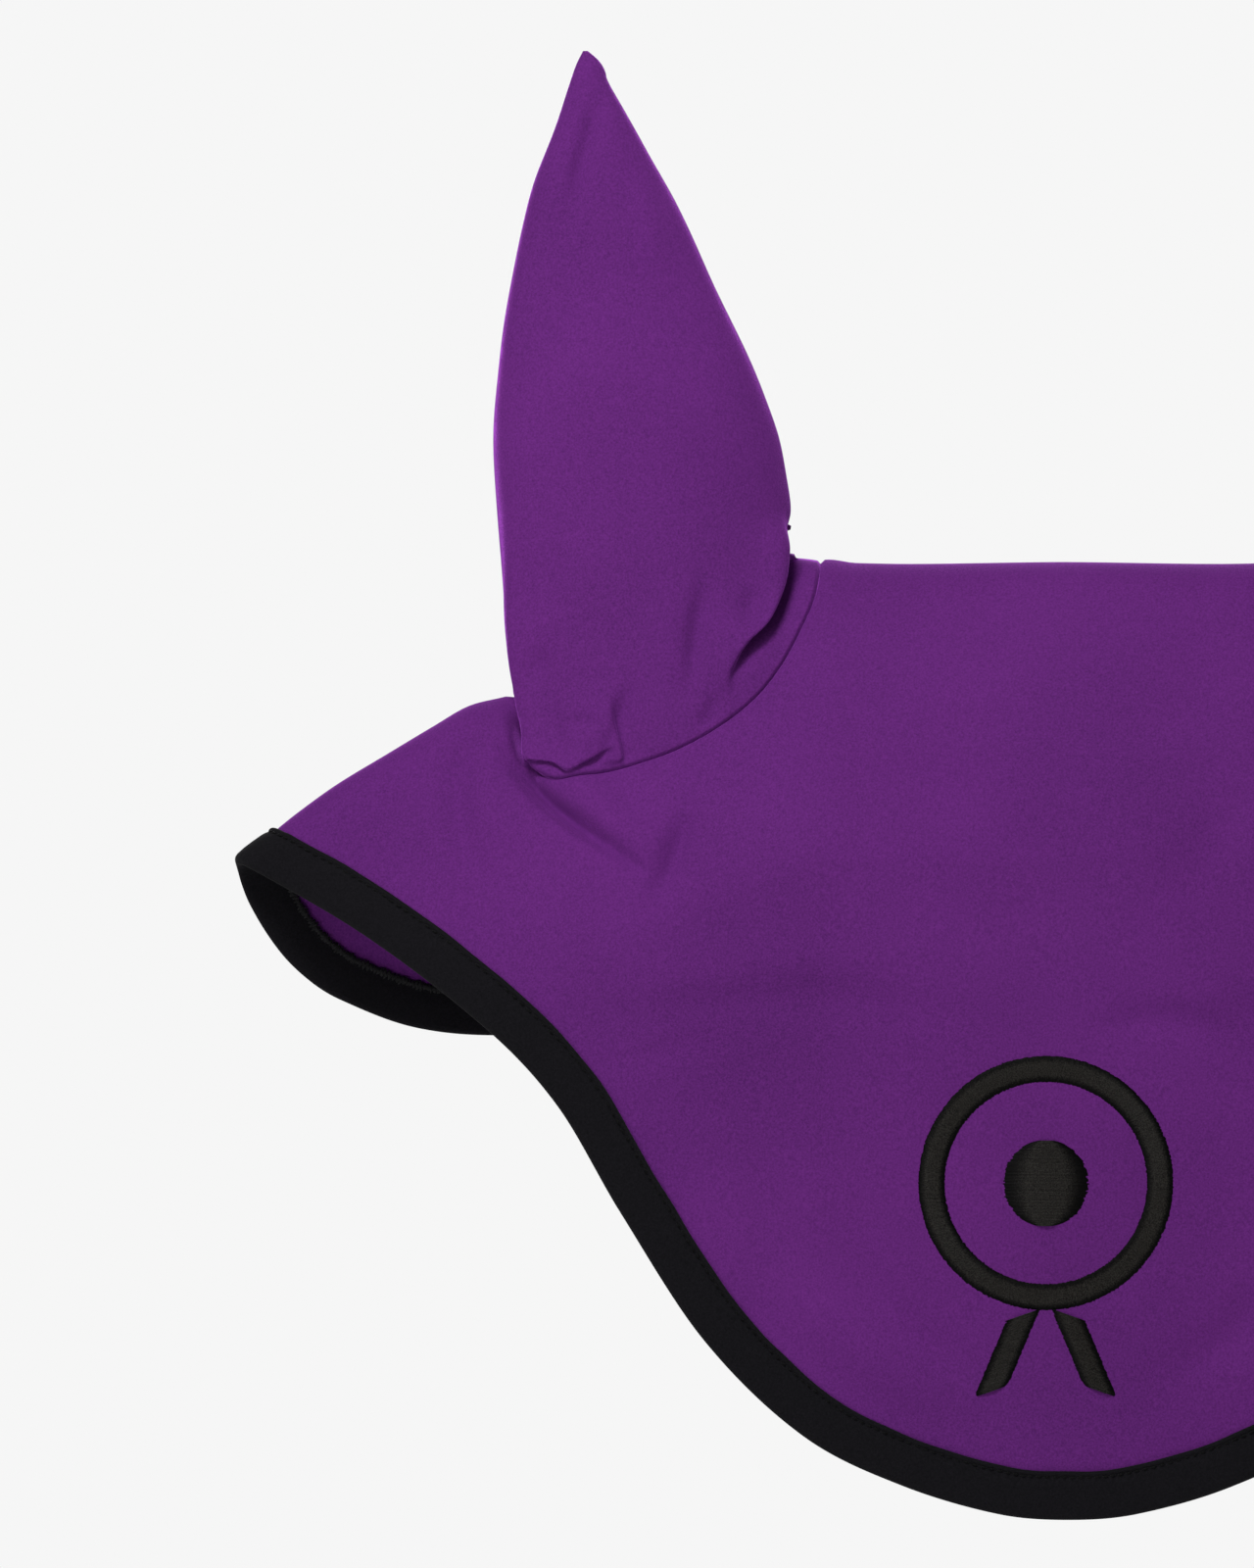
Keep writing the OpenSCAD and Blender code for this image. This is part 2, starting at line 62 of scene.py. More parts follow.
def node_box(node):
    lo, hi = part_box(node)
    return np.array(lo) / MM, np.array(hi) / MM


# ---- driving dimensions ----
# From the frame.
TIP_HALF = node_box("edge_binding")[1][0]
CROWN_Z = node_box("front_panel")[1][2]
FLAP_DROP = CROWN_Z - node_box("edge_binding")[0][2]
EAR_HEIGHT = node_box("ear_left_front")[1][2]
FRONT_DEPTH = -node_box("front_panel")[0][1]
BACK_DEPTH = node_box("back_panel")[1][1]
# The same as in the CAD part, or nearly.
CROWN_HALF = 77  # half the crown, between the ear holes' inner ends
SHOULDER_HALF = 174  # out to the ear holes' outer ends
SHOULDER_DROP = 42.3
TIP_DROP = 95
NECK_DROP = 150
FOLD_HALF = 7  # half thickness where the cloth has turned over the top line
FOLD_SHARE = 0.1  # share of FALL in which it turns over
FALL = 95  # this far below the top line the body reaches its full depth
DEPTH_REACH = 1.09 * TIP_HALF  # where the body's depth would come down to nothing
TUCK = 8  # how far the flap's lowest edge leans in
CLOTH = 1.2
BINDING_W = 15.5
BINDING_T = 1.0
GAP = 0.3  # between one layer and the next
EDGE_INSET = BINDING_T + 0.8  # from the binding's fold to the cloth's own edge
EDGE_SHIFT = 0.55
EAR_DEPTH = 24  # half the ear's thickness at its foot
EMBLEM_X = -7
EMBLEM_Z = -194
EMBLEM_R = 40
STROKE = 8.5
# The dip along the seam round an ear hole: its depth and half width.
GROOVE = 1.0
GROOVE_HALF = 0.45
# The embroidery draws its ground in by this much, over this half width.
PUCKER = 0.5
PUCKER_HALF = 7
FOLD_GAIN = 1.5  # all folds are this many times as deep as their lists say
TURN_FADE = 14  # and die out over this distance from the top line


# ---- curves ----
def mix(a, b, t):
    return a + (b - a) * t


def unit(v):
    return v / np.maximum(np.linalg.norm(v, axis=-1, keepdims=True), 1e-12)


def curve(points, x):
    """A smooth curve through (x, y) points with rising x, read off at x."""
    p = np.array(points, float)
    slope = np.gradient(p[:, 1], p[:, 0])
    slope[1:-1] = (p[2:, 1] - p[:-2, 1]) / (p[2:, 0] - p[:-2, 0])
    i = np.clip(np.searchsorted(p[:, 0], x, side="right") - 1, 0, len(p) - 2)
    h = p[i + 1, 0] - p[i, 0]
    t = (x - p[i, 0]) / h
    return (
        (2 * t**3 - 3 * t**2 + 1) * p[i, 1]
        + (t**3 - 2 * t**2 + t) * h * slope[i]
        + (3 * t**2 - 2 * t**3) * p[i + 1, 1]
        + (t**3 - t**2) * h * slope[i + 1]
    )


def spline(points, u):
    """A smooth curve through points of any dimension, read off at shares u of its chord length."""
    p = np.array(points, float)
    reach = np.concatenate([[0], np.cumsum(np.linalg.norm(np.diff(p, axis=0), axis=1))])
    reach /= reach[-1]
    return np.stack([curve(np.stack([reach, p[:, k]], 1), u) for k in range(p.shape[1])], -1)


def ease(t):
    t = np.clip(t, 0, 1)
    return t * t * (3 - 2 * t)


# ---- outlines ----
# The top line as (x, z). Each half is read off by distance from the middle.
TOP_LINE = [
    (-CROWN_HALF / 2, -0.8), (0, -0.5), (CROWN_HALF * 0.6, -1.1), (CROWN_HALF * 0.85, -0.8),
    (CROWN_HALF, -0.1),
    (mix(CROWN_HALF, SHOULDER_HALF, 0.34), -SHOULDER_DROP * 0.33),
    (mix(CROWN_HALF, SHOULDER_HALF, 0.66), -SHOULDER_DROP * 0.68),
    (SHOULDER_HALF, -SHOULDER_DROP), (188, -46), (199, -52.3), (214.5, -61.6),
    (230, -71), (243, -80.4), (252.7, -88.2), (TIP_HALF, -TIP_DROP),
]
# The lower edges: at this share of TIP_HALF, this share of the way down from the tips.
FLAP_EDGE = [
    (-0.083, 0.989), (0, 0.998), (0.083, 0.989), (0.201, 0.945), (0.319, 0.869), (0.438, 0.723),
    (0.538, 0.529), (0.61, 0.374), (0.69, 0.263), (0.84, 0.117), (1, 0),
]
NECK_EDGE = [
    (-0.35, 1), (0, 1), (0.35, 1), (0.7, 1.005), (0.79, 0.952), (0.875, 0.794), (0.911, 0.685),
    (0.947, 0.511), (0.982, 0.24), (1, 0),
]
# The seam round the left ear hole, from its inner end on the crown to its outer end.
HOLE_FRONT = [
    (-77, -0.1), (-79, -11.5), (-83.7, -22.3), (-89.9, -33.2), (-97.7, -43.1), (-108.5, -51.8),
    (-122.5, -59.5), (-136.4, -64.4), (-144, -66.6), (-151, -68.2), (-159.5, -69.4),
    (-164.3, -68), (-166.8, -65.4), (-167.6, -60.5), (-168.6, -53), (-174, -SHOULDER_DROP),
]
HOLE_BACK = [
    (-77, -0.1), (-80, -13), (-88, -27), (-103, -42), (-122, -52), (-143, -57), (-160, -57),
    (-170, -51), (-174, -SHOULDER_DROP),
]
# The left ear from the crown's height to its tip: at this share of its height, its outer edge's
# x, its inner edge's x and half its thickness.
EAR_OUTER = [
    (0, -177.4), (0.08, -178.9), (0.22, -180.3), (0.35, -179.5), (0.47, -177.5), (0.58, -174.1),
    (0.7, -169.2), (0.81, -163), (0.9, -158.3), (0.945, -155.8), (0.975, -154), (1, -151.9),
]
EAR_INNER = [
    (0, -86.6), (0.1, -86.6), (0.16, -87.7), (0.24, -89.7), (0.31, -93.2), (0.39, -98.4),
    (0.54, -110.4), (0.7, -122.2), (0.81, -132.2), (0.9, -140.3), (0.945, -144.2), (0.962, -144.9),
    (0.982, -147), (1, -150.4),
]
EAR_THICK = [
    (0, EAR_DEPTH), (0.15, EAR_DEPTH * 0.8), (0.4, EAR_DEPTH * 0.64), (0.7, EAR_DEPTH * 0.42),
    (0.9, EAR_DEPTH * 0.24), (0.97, EAR_DEPTH * 0.14), (1, 0.1),
]
EAR_JOIN = 0.12  # the share of its height at which the ear's plain oval starts
# The sleeve below it leaves its seam sideways: by TUCKED_LEAVE at the inner end, under the lap,
# and by OUTER_LEAVE near the outer end, where it also swells by OUTER_SWELL.
TUCKED_LEAVE = 58
OUTER_LEAVE = 36
OUTER_SWELL = 16
# How far the mouth of the pouch at its outer corner hangs over, and how high above the seam.
POUCH = 3.0
POUCH_UP = 0.045


# ---- folds in the cloth ----
# A dent or ridge: its path, its height (below 0 presses the cloth in) and its half width. A fourth
# value makes the half width on the right of the path's direction that many times as wide.
FLAP_DENTS = [
    ([(-178, -61), (-170, -68), (-162, -76), (-153, -83), (-146, -88.5)], -3.6, 2.0, 1.5),
    ([(-160, -77.5), (-151, -84.5), (-142, -91), (-130, -100)], -1.8, 1.9, 1.5),
    ([(-174, -42), (-172.3, -50), (-171.3, -56), (-170.4, -61.5), (-168, -66.5)], -5.2, 2.2),
    ([(-178.5, -44), (-177.3, -51), (-176, -57), (-174.5, -62)], 2.0, 2.2),
    ([(-160, -62), (-150, -74), (-140, -83), (-126, -92)], 2.4, 6),
    ([(-119, -78), (-123, -92), (-130, -108)], -2.8, 3.6),
    ([(-185, -51), (-191, -66), (-191, -82), (-186, -96), (-178, -105)], -2.4, 5),
    ([(-205, -62), (-207, -76), (-203, -86)], -0.8, 6),
    ([(-151, -149), (-126, -142), (-101, -138.5), (-76, -137), (-51, -141), (-27, -151)], -0.9, 7),
    ([(-152, -141), (-126, -134), (-101, -130), (-76, -128), (-48, -130)], 0.5, 8),
    ([(-145, -159), (-122, -153), (-100, -148)], -0.6, 4.5),
]
CENTRE_DENTS = [
    ([(-74, -193), (-68, -214), (-58, -232), (-42, -246), (-23, -256)], -1.2, 5.5),
    ([(-90, -219), (-78, -235), (-60, -251), (-36, -262)], 0.9, 6),
    ([(-102, -228), (-86, -248), (-67, -262), (-44, -273)], -1.0, 6.5),
    ([(8, -149), (20, -145), (33, -144), (48, -149), (61, -157)], -1.2, 5),
    ([(62, -229), (50, -245), (30, -256)], -1.2, 7),
    ([(50, -33), (36, -48), (14, -56), (-8, -61)], -0.8, 8),
    ([(-50, -54), (-30, -53), (-8, -53)], -0.6, 5),
    ([(62, -64), (49, -81), (36, -101), (30, -112)], -0.8, 9),
    ([(-62, -12), (-20, -9), (30, -8), (60, -13)], -0.5, 5),
    ([(-20, -30), (10, -31), (34, -27)], 0.4, 10),
]
BACK_DENTS = [
    ([(-176, -52), (-160, -74), (-138, -92)], -2.2, 6),
    ([(-186, -56), (-192, -78), (-186, -100)], -1.4, 6),
    ([(-120, -60), (-100, -84), (-92, -108)], -1.3, 7),
    ([(-60, -20), (-10, -30), (40, -22)], -1.0, 9),
    ([(-70, -92), (-20, -100), (40, -94), (90, -84)], -1.2, 9),
    ([(150, -60), (128, -84), (98, -96)], -2.0, 7),
    ([(188, -58), (192, -80), (184, -104)], -1.3, 6),
]
EAR_DENTS = [
    ([(-146.5, 147), (-150, 134), (-153.5, 122), (-156, 108)], -1.8, 3.4),
    ([(-134, 118), (-130, 104), (-128, 90)], 0.9, 4.5),
    ([(-160, 62), (-157, 44), (-158, 26)], 0.6, 6),
    ([(-96, -8), (-99.5, -15), (-103, -20)], -1.5, 3.6),
    ([(-112.5, -6), (-116, -22), (-118, -42)], -1.6, 3.4),
    ([(-110, -43), (-112, -49), (-115, -54)], -0.9, 2.6),
    ([(-138, -55), (-138.5, -47), (-137, -38)], -1.0, 2.4),
    ([(-160, -55), (-151, -54), (-144, -57)], 2.2, 11),
    ([(-163, -28), (-168, -37), (-171, -40)], -1.0, 4),
    ([(-158, -53), (-151, -51), (-146, -54)], -0.8, 2.6),
    ([(-160, 6), (-163, -8), (-160, -20)], -0.7, 7),
]
# A lap, where the cloth on the left of the path's direction of travel hangs over that on its
# right: its path, how far it laps over, how far it stands up, the half width of the turn, and the
# shares of its length over which it grows and fades.
EAR_LAPS = [
    ([(-104.5, -46), (-105.5, -38.4), (-103.4, -31.9), (-99.8, -25.4), (-94.6, -19.6), (-91.1, -13),
      (-88.3, -4), (-87.2, 16)], 3.6, 13, 1.5, 0.5, 0.2),
    ([(-139.6, -66), (-139.3, -61.5), (-141.4, -53), (-142.6, -46), (-141.2, -41.5),
      (-137.5, -40)], 1.3, 2.6, 1.5, 0.1, 0.6),
    ([(-171, -62.4), (-166.5, -63), (-162, -63.4), (-159.3, -64.8), (-157, -67.4)],
     1.6, 2.8, 0.9, 0.1, 0.2),
    ([(-157.8, -67.4), (-153, -64.6), (-149, -62.4), (-144.5, -59.8), (-141.8, -58.4)],
     1.3, 2.4, 0.9, 0.15, 0.4),
]
LAP_REACH = 5  # a lap's upper cloth is back in place this many half widths away
LAP_UNDER = 3  # and its lower cloth this many
SEAM_PIECES = 110  # an ear hole's seam is followed in this many straight pieces


def along(path, x, z, pieces=24):
    """Signed distance from a path, positive on the right of its direction, and the share of its
    length at the nearest point."""
    p = spline(path, np.linspace(0, 1, pieces))
    a, d = p[:-1], np.diff(p, axis=0)
    size = np.linalg.norm(d, axis=1)
    start = np.concatenate([[0], np.cumsum(size)])
    best = np.full(np.shape(x), 1e9)
    side = np.zeros(np.shape(x))
    share = np.zeros(np.shape(x))
    for k in range(len(d)):
        rx, rz = x - a[k, 0], z - a[k, 1]
        t = np.clip((rx * d[k, 0] + rz * d[k, 1]) / size[k] ** 2, 0, 1)
        away = np.hypot(rx - t * d[k, 0], rz - t * d[k, 1])
        near = away < best - 1e-9
        best = np.where(near, away, best)
        side = np.where(near, rx * d[k, 1] - rz * d[k, 0], side)
        share = np.where(near, (start[k] + t * size[k]) / start[-1], share)
    return np.where(side < 0, -best, best), share


def dented(dents, x, z):
    """Height of the cloth above its smooth shape."""
    out = np.zeros(np.shape(x))
    for path, height, half, *right in dents:
        s, share = along(path, x, z)
        taper = np.sin(np.pi * np.clip(share, 0.04, 0.96)) ** 0.7
        reach = half * np.where(s > 0, right[0] if right else 1, 1)
        out += height * taper * np.exp(-((s / reach) ** 2))
    return out


def ripple(x, z, size, seed):
    """Gentle unevenness between about -1 and 1, with waves of about this length."""
    rng = np.random.default_rng(seed)
    out = np.zeros(np.shape(x))
    for _ in range(7):
        angle, phase = rng.uniform(0, 2 * np.pi, 2)
        k = 2 * np.pi / (size * rng.uniform(0.7, 1.7))
        out += np.sin(k * (x * np.cos(angle) + z * np.sin(angle)) + phase)
    return out / 3.2


def turned_over(dents):
    """The same folds on the other side, a little weaker, so that the two sides aren't twins."""
    return [
        ([(-x + 2.5, z - 1.5) for x, z in path[::-1]], height * 0.8, half * 1.08, *right)
        for path, height, half, *right in dents
    ]


# ---- the body's surface ----
def top_z(x):
    return CROWN_Z + curve(TOP_LINE, np.abs(x))


def edge_z(side, x):
    s = np.abs(x) / TIP_HALF
    if side == FRONT:
        return CROWN_Z - mix(TIP_DROP, FLAP_DROP, curve(FLAP_EDGE, s))
    return CROWN_Z - mix(TIP_DROP, NECK_DROP, curve(NECK_EDGE, s))


def half_thickness(side, x, u):
    deep = (FRONT_DEPTH if side == FRONT else BACK_DEPTH) * np.sqrt(1 - (x / DEPTH_REACH) ** 2)
    k = np.clip(u, 0, 1)
    f = np.minimum(k / FOLD_SHARE, 1)
    return FOLD_HALF * np.sqrt(1 - (1 - f) ** 2) + (deep - FOLD_HALF) * (1 - (1 - k) ** 1.5)


def tuck(side, z):
    if side == BACK:
        return 0 * z
    return TUCK * (np.maximum(-NECK_DROP - z, 0) / (FLAP_DROP - NECK_DROP)) ** 2


def smooth_body(side, x, z):
    y = side * half_thickness(side, x, (top_z(x) - z) / FALL) + tuck(side, z)
    return np.stack([x, y, z], -1)


def level(side, p):
    """Zero on the smooth body, and rising outwards."""
    x, y, z = p[..., 0], p[..., 1], p[..., 2]
    u = (top_z(x) - z) / FALL
    inside = np.where(u < 0, 2 * FOLD_HALF**2 * u / FOLD_SHARE, half_thickness(side, x, u) ** 2)
    return (y - tuck(side, z)) ** 2 - inside


def gradient(side, p):
    step = 0.02
    return np.stack(
        [(level(side, p + d) - level(side, p - d)) / (2 * step) for d in np.eye(3) * step], -1
    )


def onto_body(side, p):
    for _ in range(5):
        g = gradient(side, p)
        p = p - g * (level(side, p) / np.maximum((g * g).sum(-1), 1e-9))[..., None]
    return p


def body_relief(side, x, z):
    """How far the worn cloth stands off the smooth body."""
    if side == FRONT:
        dents = FLAP_DENTS + CENTRE_DENTS + turned_over(FLAP_DENTS)
    else:
        dents = BACK_DENTS
    out = dented(dents, x, z - CROWN_Z)
    out += 0.2 * ripple(x, z, 95, 3 + side) + 0.16 * ripple(x, z, 34, 8 + side)
    # The embroidery pulls its ground in a little and the cloth puckers round it.
    if side == FRONT:
        r = np.hypot(x - EMBLEM_X, z - EMBLEM_Z)
        out += -PUCKER * np.exp(-(((r - EMBLEM_R + STROKE / 2) / PUCKER_HALF) ** 2))
    return FOLD_GAIN * out * ease((top_z(x) - z) / TURN_FADE)


def hole_groove(side, x, z):
    """The cloth dips into the seam round each ear hole."""
    seam = HOLE_FRONT if side == FRONT else HOLE_BACK
    s, _ = along(seam, -np.abs(x), z - CROWN_Z, SEAM_PIECES)
    return -GROOVE * np.exp(-((s / GROOVE_HALF) ** 2))


def cloth_point(side, p, out=0.0):
    """The point above or below p, which is on the smooth body, at `out` from the worn cloth."""
    n = unit(gradient(side, p))
    lift = out + body_relief(side, p[..., 0], p[..., 2])
    return p + n * np.asarray(lift)[..., None]


# ---- the ear's surface ----
def hole_point(side, c):
    """The left ear hole's seam at a share c of its length, from its inner end to its outer end."""
    q = spline(HOLE_FRONT if side == FRONT else HOLE_BACK, c)
    p = smooth_body(side, q[..., 0], q[..., 1] + CROWN_Z)
    p[..., 1] *= np.sin(np.pi * np.clip(c, 0, 1)) > 1e-9
    return p


def oval(side, c, h):
    turn = np.pi * c
    x = mix(curve(EAR_OUTER, h), curve(EAR_INNER, h), (1 + np.cos(turn)) / 2)
    y = side * curve(EAR_THICK, h) * np.abs(np.sin(turn)) ** 0.85
    return np.stack(np.broadcast_arrays(x, y, CROWN_Z + EAR_HEIGHT * h + 0 * x), -1)


def sleeve(side, c, t):
    """The ear between its seam (t = 0) and EAR_JOIN (t = 1), at a share c of the seam's length."""
    a = hole_point(side, c)
    b = oval(side, c, EAR_JOIN)
    rise = b[..., 2] - a[..., 2]
    tucked = np.maximum(np.cos(np.pi * c), 0) ** 3
    outer = ease((c - 0.8) / 0.09) * (1 - 0.8 * ease((c - 0.9) / 0.08))
    free = np.sin(np.pi * c) ** 0.5
    leave = np.stack([
        -TUCKED_LEAVE * tucked - OUTER_LEAVE * outer,
        (b[..., 1] - a[..., 1]) * 0.4 + side * OUTER_SWELL * outer * free,
        rise * (1 - 0.8 * tucked) * (1 - 0.35 * outer),
    ], -1)
    arrive = (oval(side, c, EAR_JOIN + 0.01) - b) / (0.01 * EAR_HEIGHT)
    arrive = arrive * (rise * (1 + 1.2 * tucked))[..., None]
    # Just above the seam the outer corner hangs over like the mouth of a pouch.
    up = t / POUCH_UP
    mouth = ease((c - 0.76) / 0.08) * (1 - ease((c - 0.84) / 0.05)) * up * np.exp(1 - up)
    over = np.stack([-POUCH * mouth, side * 0.8 * POUCH * mouth, 0 * mouth], -1)
    t = t[..., None]
    return over + (
        (2 * t**3 - 3 * t**2 + 1) * a + (t**3 - 2 * t**2 + t) * leave
        + (3 * t**2 - 2 * t**3) * b + (t**3 - t**2) * arrive
    )


def smooth_ear(side, cols, low_rows, high_rows):
    """A grid of the left ear's surface, from its inner edge to its outer one and from the seam up."""
    c, t = np.meshgrid(np.linspace(0, 1, cols), np.linspace(0, 1, low_rows) ** 1.25, indexing="ij")
    low = sleeve(side, c, t)
    c, h = np.meshgrid(
        np.linspace(0, 1, cols), np.linspace(EAR_JOIN, 1, high_rows + 1)[1:], indexing="ij"
    )
    return np.concatenate([low, oval(side, c, h)], axis=1)


def lapped(laps, side, p, keep, scale):
    """Folds a surface over itself along each lap. keep is 0 where the cloth is sewn down."""
    x, z = p[..., 0], p[..., 2] - CROWN_Z
    shift = np.zeros(p.shape)
    for path, over, stand, half, grow, fade in laps:
        s, share = along(path, x, z)
        ahead = spline(path, np.clip(share + 0.03, 0, 1))
        tangent = unit(ahead - spline(path, np.clip(share - 0.03, 0, 1)))
        amount = scale * keep * ease(share / grow) * ease((1 - share) / fade)
        reach = half * np.where(s < 0, LAP_REACH, LAP_UNDER)
        amount = amount * -np.tanh(s / half) * np.exp(-((s / reach) ** 2))
        forward = np.full(np.shape(x), 0.5 * side * stand)
        move = np.stack([over * tangent[..., 1], forward, -over * tangent[..., 0]], -1)
        shift += amount[..., None] * move
    return p + shift


SEWN = 3.5  # an ear's own folds grow over this distance from its seam
FOOT_FADE = 16  # and the panel's die out over this one
TIP_FADE = 18
EAR_BACK_FOLDS = 0.7  # the share of its front folds that the ear has at the back


def ear_grids(cols, low_rows, high_rows, scale, seed):
    """The worn left ear: its outer surface in front and at the back, then its inner surface."""
    ring = np.concatenate([
        smooth_ear(FRONT, cols, low_rows, high_rows),
        smooth_ear(BACK, cols, low_rows, high_rows)[-2:0:-1],
    ])
    n = grid_normals(ring, closed=True) * -1
    up = np.cumsum(np.linalg.norm(np.diff(ring, axis=1, prepend=ring[:, :1]), axis=2), axis=1)
    x, z = ring[..., 0], ring[..., 2] - CROWN_Z
    front = np.arange(len(ring))[:, None] < cols
    # At its seam the ear follows the panel's own relief.
    foot = ring[:, :1]
    worn_foot, sunk_foot = (
        np.where(front[..., None], cloth_point(FRONT, foot, out), cloth_point(BACK, foot, out))
        for out in (0, -GROOVE)
    )
    keep = ease(up / SEWN)
    dents = FOLD_GAIN * scale * np.where(
        front, dented(EAR_DENTS, x, z), EAR_BACK_FOLDS * dented(EAR_DENTS, x + 4, z - 6)
    )
    dents = keep * (dents + 0.5 * ripple(x, z, 60, seed) + 0.16 * ripple(x, z, 24, seed + 1))
    thin = ease((EAR_HEIGHT - z) / TIP_FADE)
    base = (worn_foot - foot) * ease(1 - up / FOOT_FADE)[..., None]
    base = base + (sunk_foot - worn_foot) * np.exp(-((up / GROOVE_HALF) ** 2))[..., None]
    worn = ring + n * (dents * thin)[..., None] + base
    worn = np.where(
        front[..., None], lapped(EAR_LAPS, FRONT, worn, keep, scale),
        lapped(EAR_LAPS[:1], BACK, worn, keep, scale),
    )
    inner_n = -grid_normals(worn, closed=True)
    # The cloth is thinned towards the tip, so that its two halves don't meet inside.
    layer = np.minimum(CLOTH, 0.25 + 0.12 * (EAR_HEIGHT - z))
    inner = worn - inner_n * layer[..., None]
    back_cols = np.r_[np.arange(cols - 1, len(ring)), 0]
    return (worn[:cols], inner[:cols]), (worn[back_cols], inner[back_cols])


# ---- meshes ----
def grid_normals(p, closed=False):
    """Unit normals of a grid of points; `closed` joins its last column to its first."""
    if closed:
        along_u = np.roll(p, -1, 0) - np.roll(p, 1, 0)
    else:
        along_u = np.gradient(p, axis=0)
    return unit(np.cross(along_u, np.gradient(p, axis=1)))


def add_mesh(name, points, faces, uv, material):
    """A smooth-shaded object from points in millimetres. uv has a (u, v) in centimetres for each."""
    mesh = bpy.data.meshes.new(name)
    faces = np.asarray(faces, np.int32)
    mesh.vertices.add(len(points))
    mesh.vertices.foreach_set("co", (np.asarray(points) * MM).astype(np.float32).ravel())
    mesh.loops.add(faces.size)
    mesh.polygons.add(len(faces))
    mesh.loops.foreach_set("vertex_index", faces.ravel())
    starts = np.arange(0, faces.size, faces.shape[1], dtype=np.int32)
    mesh.polygons.foreach_set("loop_start", starts)
    mesh.update(calc_edges=True)
    mesh.polygons.foreach_set("use_smooth", np.ones(len(faces), bool))
    layer = mesh.uv_layers.new(name="cloth")
    layer.data.foreach_set("uv", np.asarray(uv, np.float32)[faces.ravel()].ravel())
    mesh.validate()
    obj = bpy.data.objects.new(name, mesh)
    bpy.context.scene.collection.objects.link(obj)
    mesh.materials.append(material)
    return obj


def grid_faces(cols, rows, closed_cols=False, closed_rows=False):
    i, j = np.meshgrid(
        np.arange(cols if closed_cols else cols - 1), np.arange(rows if closed_rows else rows - 1),
        indexing="ij",
    )
    i, j = i.ravel(), j.ravel()
    k, m = (i + 1) % cols, (j + 1) % rows
    return np.stack([i * rows + j, k * rows + j, k * rows + m, i * rows + m], 1)


def arc_uv(p):
    """(u, v) of a grid in centimetres of cloth, measured across its columns and along its rows."""
    u = np.cumsum(np.linalg.norm(np.diff(p, axis=0, prepend=p[:1]), axis=2).mean(1))
    v = np.cumsum(np.linalg.norm(np.diff(p, axis=1, prepend=p[:, :1]), axis=2), axis=1)
    return np.stack([np.broadcast_to(u[:, None], v.shape), v], -1) / 10


def sheet_mesh(name, outer, inner, material, turned):
    """A closed sheet between two grids. `turned` is for grids that run clockwise from outside."""
    cols, rows = outer.shape[:2]
    n = cols * rows
    face = grid_faces(cols, rows)
    rim = np.concatenate([
        np.arange(cols) * rows,
        (cols - 1) * rows + np.arange(rows)[1:],
        (np.arange(cols)[::-1] * rows + rows - 1)[1:],
        np.arange(rows)[::-1][1:-1],
    ])
    ahead = np.roll(rim, -1)
    faces = np.concatenate([face, face[:, ::-1] + n, np.stack([rim, rim + n, ahead + n, ahead], 1)])
    if turned:
        faces = faces[:, ::-1]
    points = np.concatenate([outer.reshape(-1, 3), inner.reshape(-1, 3)])
    uv = np.concatenate([arc_uv(outer).reshape(-1, 2)] * 2)
    return add_mesh(name, points, faces, uv, material)


def loft_parts(rings, closed):
    """Faces of a loft through rings whose points pair up, first with last. Open ends are capped."""
    n, m = rings.shape[:2]
    faces = grid_faces(n, m, closed, True)
    if not closed:
        j = np.arange(m // 2 - 1)
        cap = np.stack([j, j + 1, m - 2 - j, m - 1 - j], 1)
        faces = np.concatenate([faces, cap, cap[:, ::-1] + (n - 1) * m])
    return faces


def loft(name, parts, material, closed=False, turned=False, maps=None):
    """One object of one or more lofts, each an array of rings of points, with a UV map for each."""
    points, faces, uvs, first = [], [], [], 0
    for rings, uv in zip(parts, maps or [arc_uv(rings) for rings in parts]):
        f = loft_parts(rings, closed)
        faces.append(first + (f[:, ::-1] if turned else f))
        points.append(rings.reshape(-1, 3))
        uvs.append(uv.reshape(-1, 2))
        first += rings.shape[0] * rings.shape[1]
    return add_mesh(name, np.concatenate(points), np.concatenate(faces), np.concatenate(uvs), material)


def thread_rings(path, radius, sides=6):
    """Rings of points round a path, drawn in at its two ends if the radius is."""
    t = unit(np.gradient(path, axis=0))
    side = unit(np.cross(t, [0.3, 0.2, 0.93]))
    up = np.cross(side, t)
    a = (np.arange(sides) + 0.5) * 2 * np.pi / sides
    ring = side[:, None] * np.cos(a)[None, :, None] + up[:, None] * np.sin(a)[None, :, None]
    return path[:, None] + ring * np.broadcast_to(radius, len(path))[:, None, None]


def mirrored(grids, hand):
    return grids * np.array([hand, 1, 1])


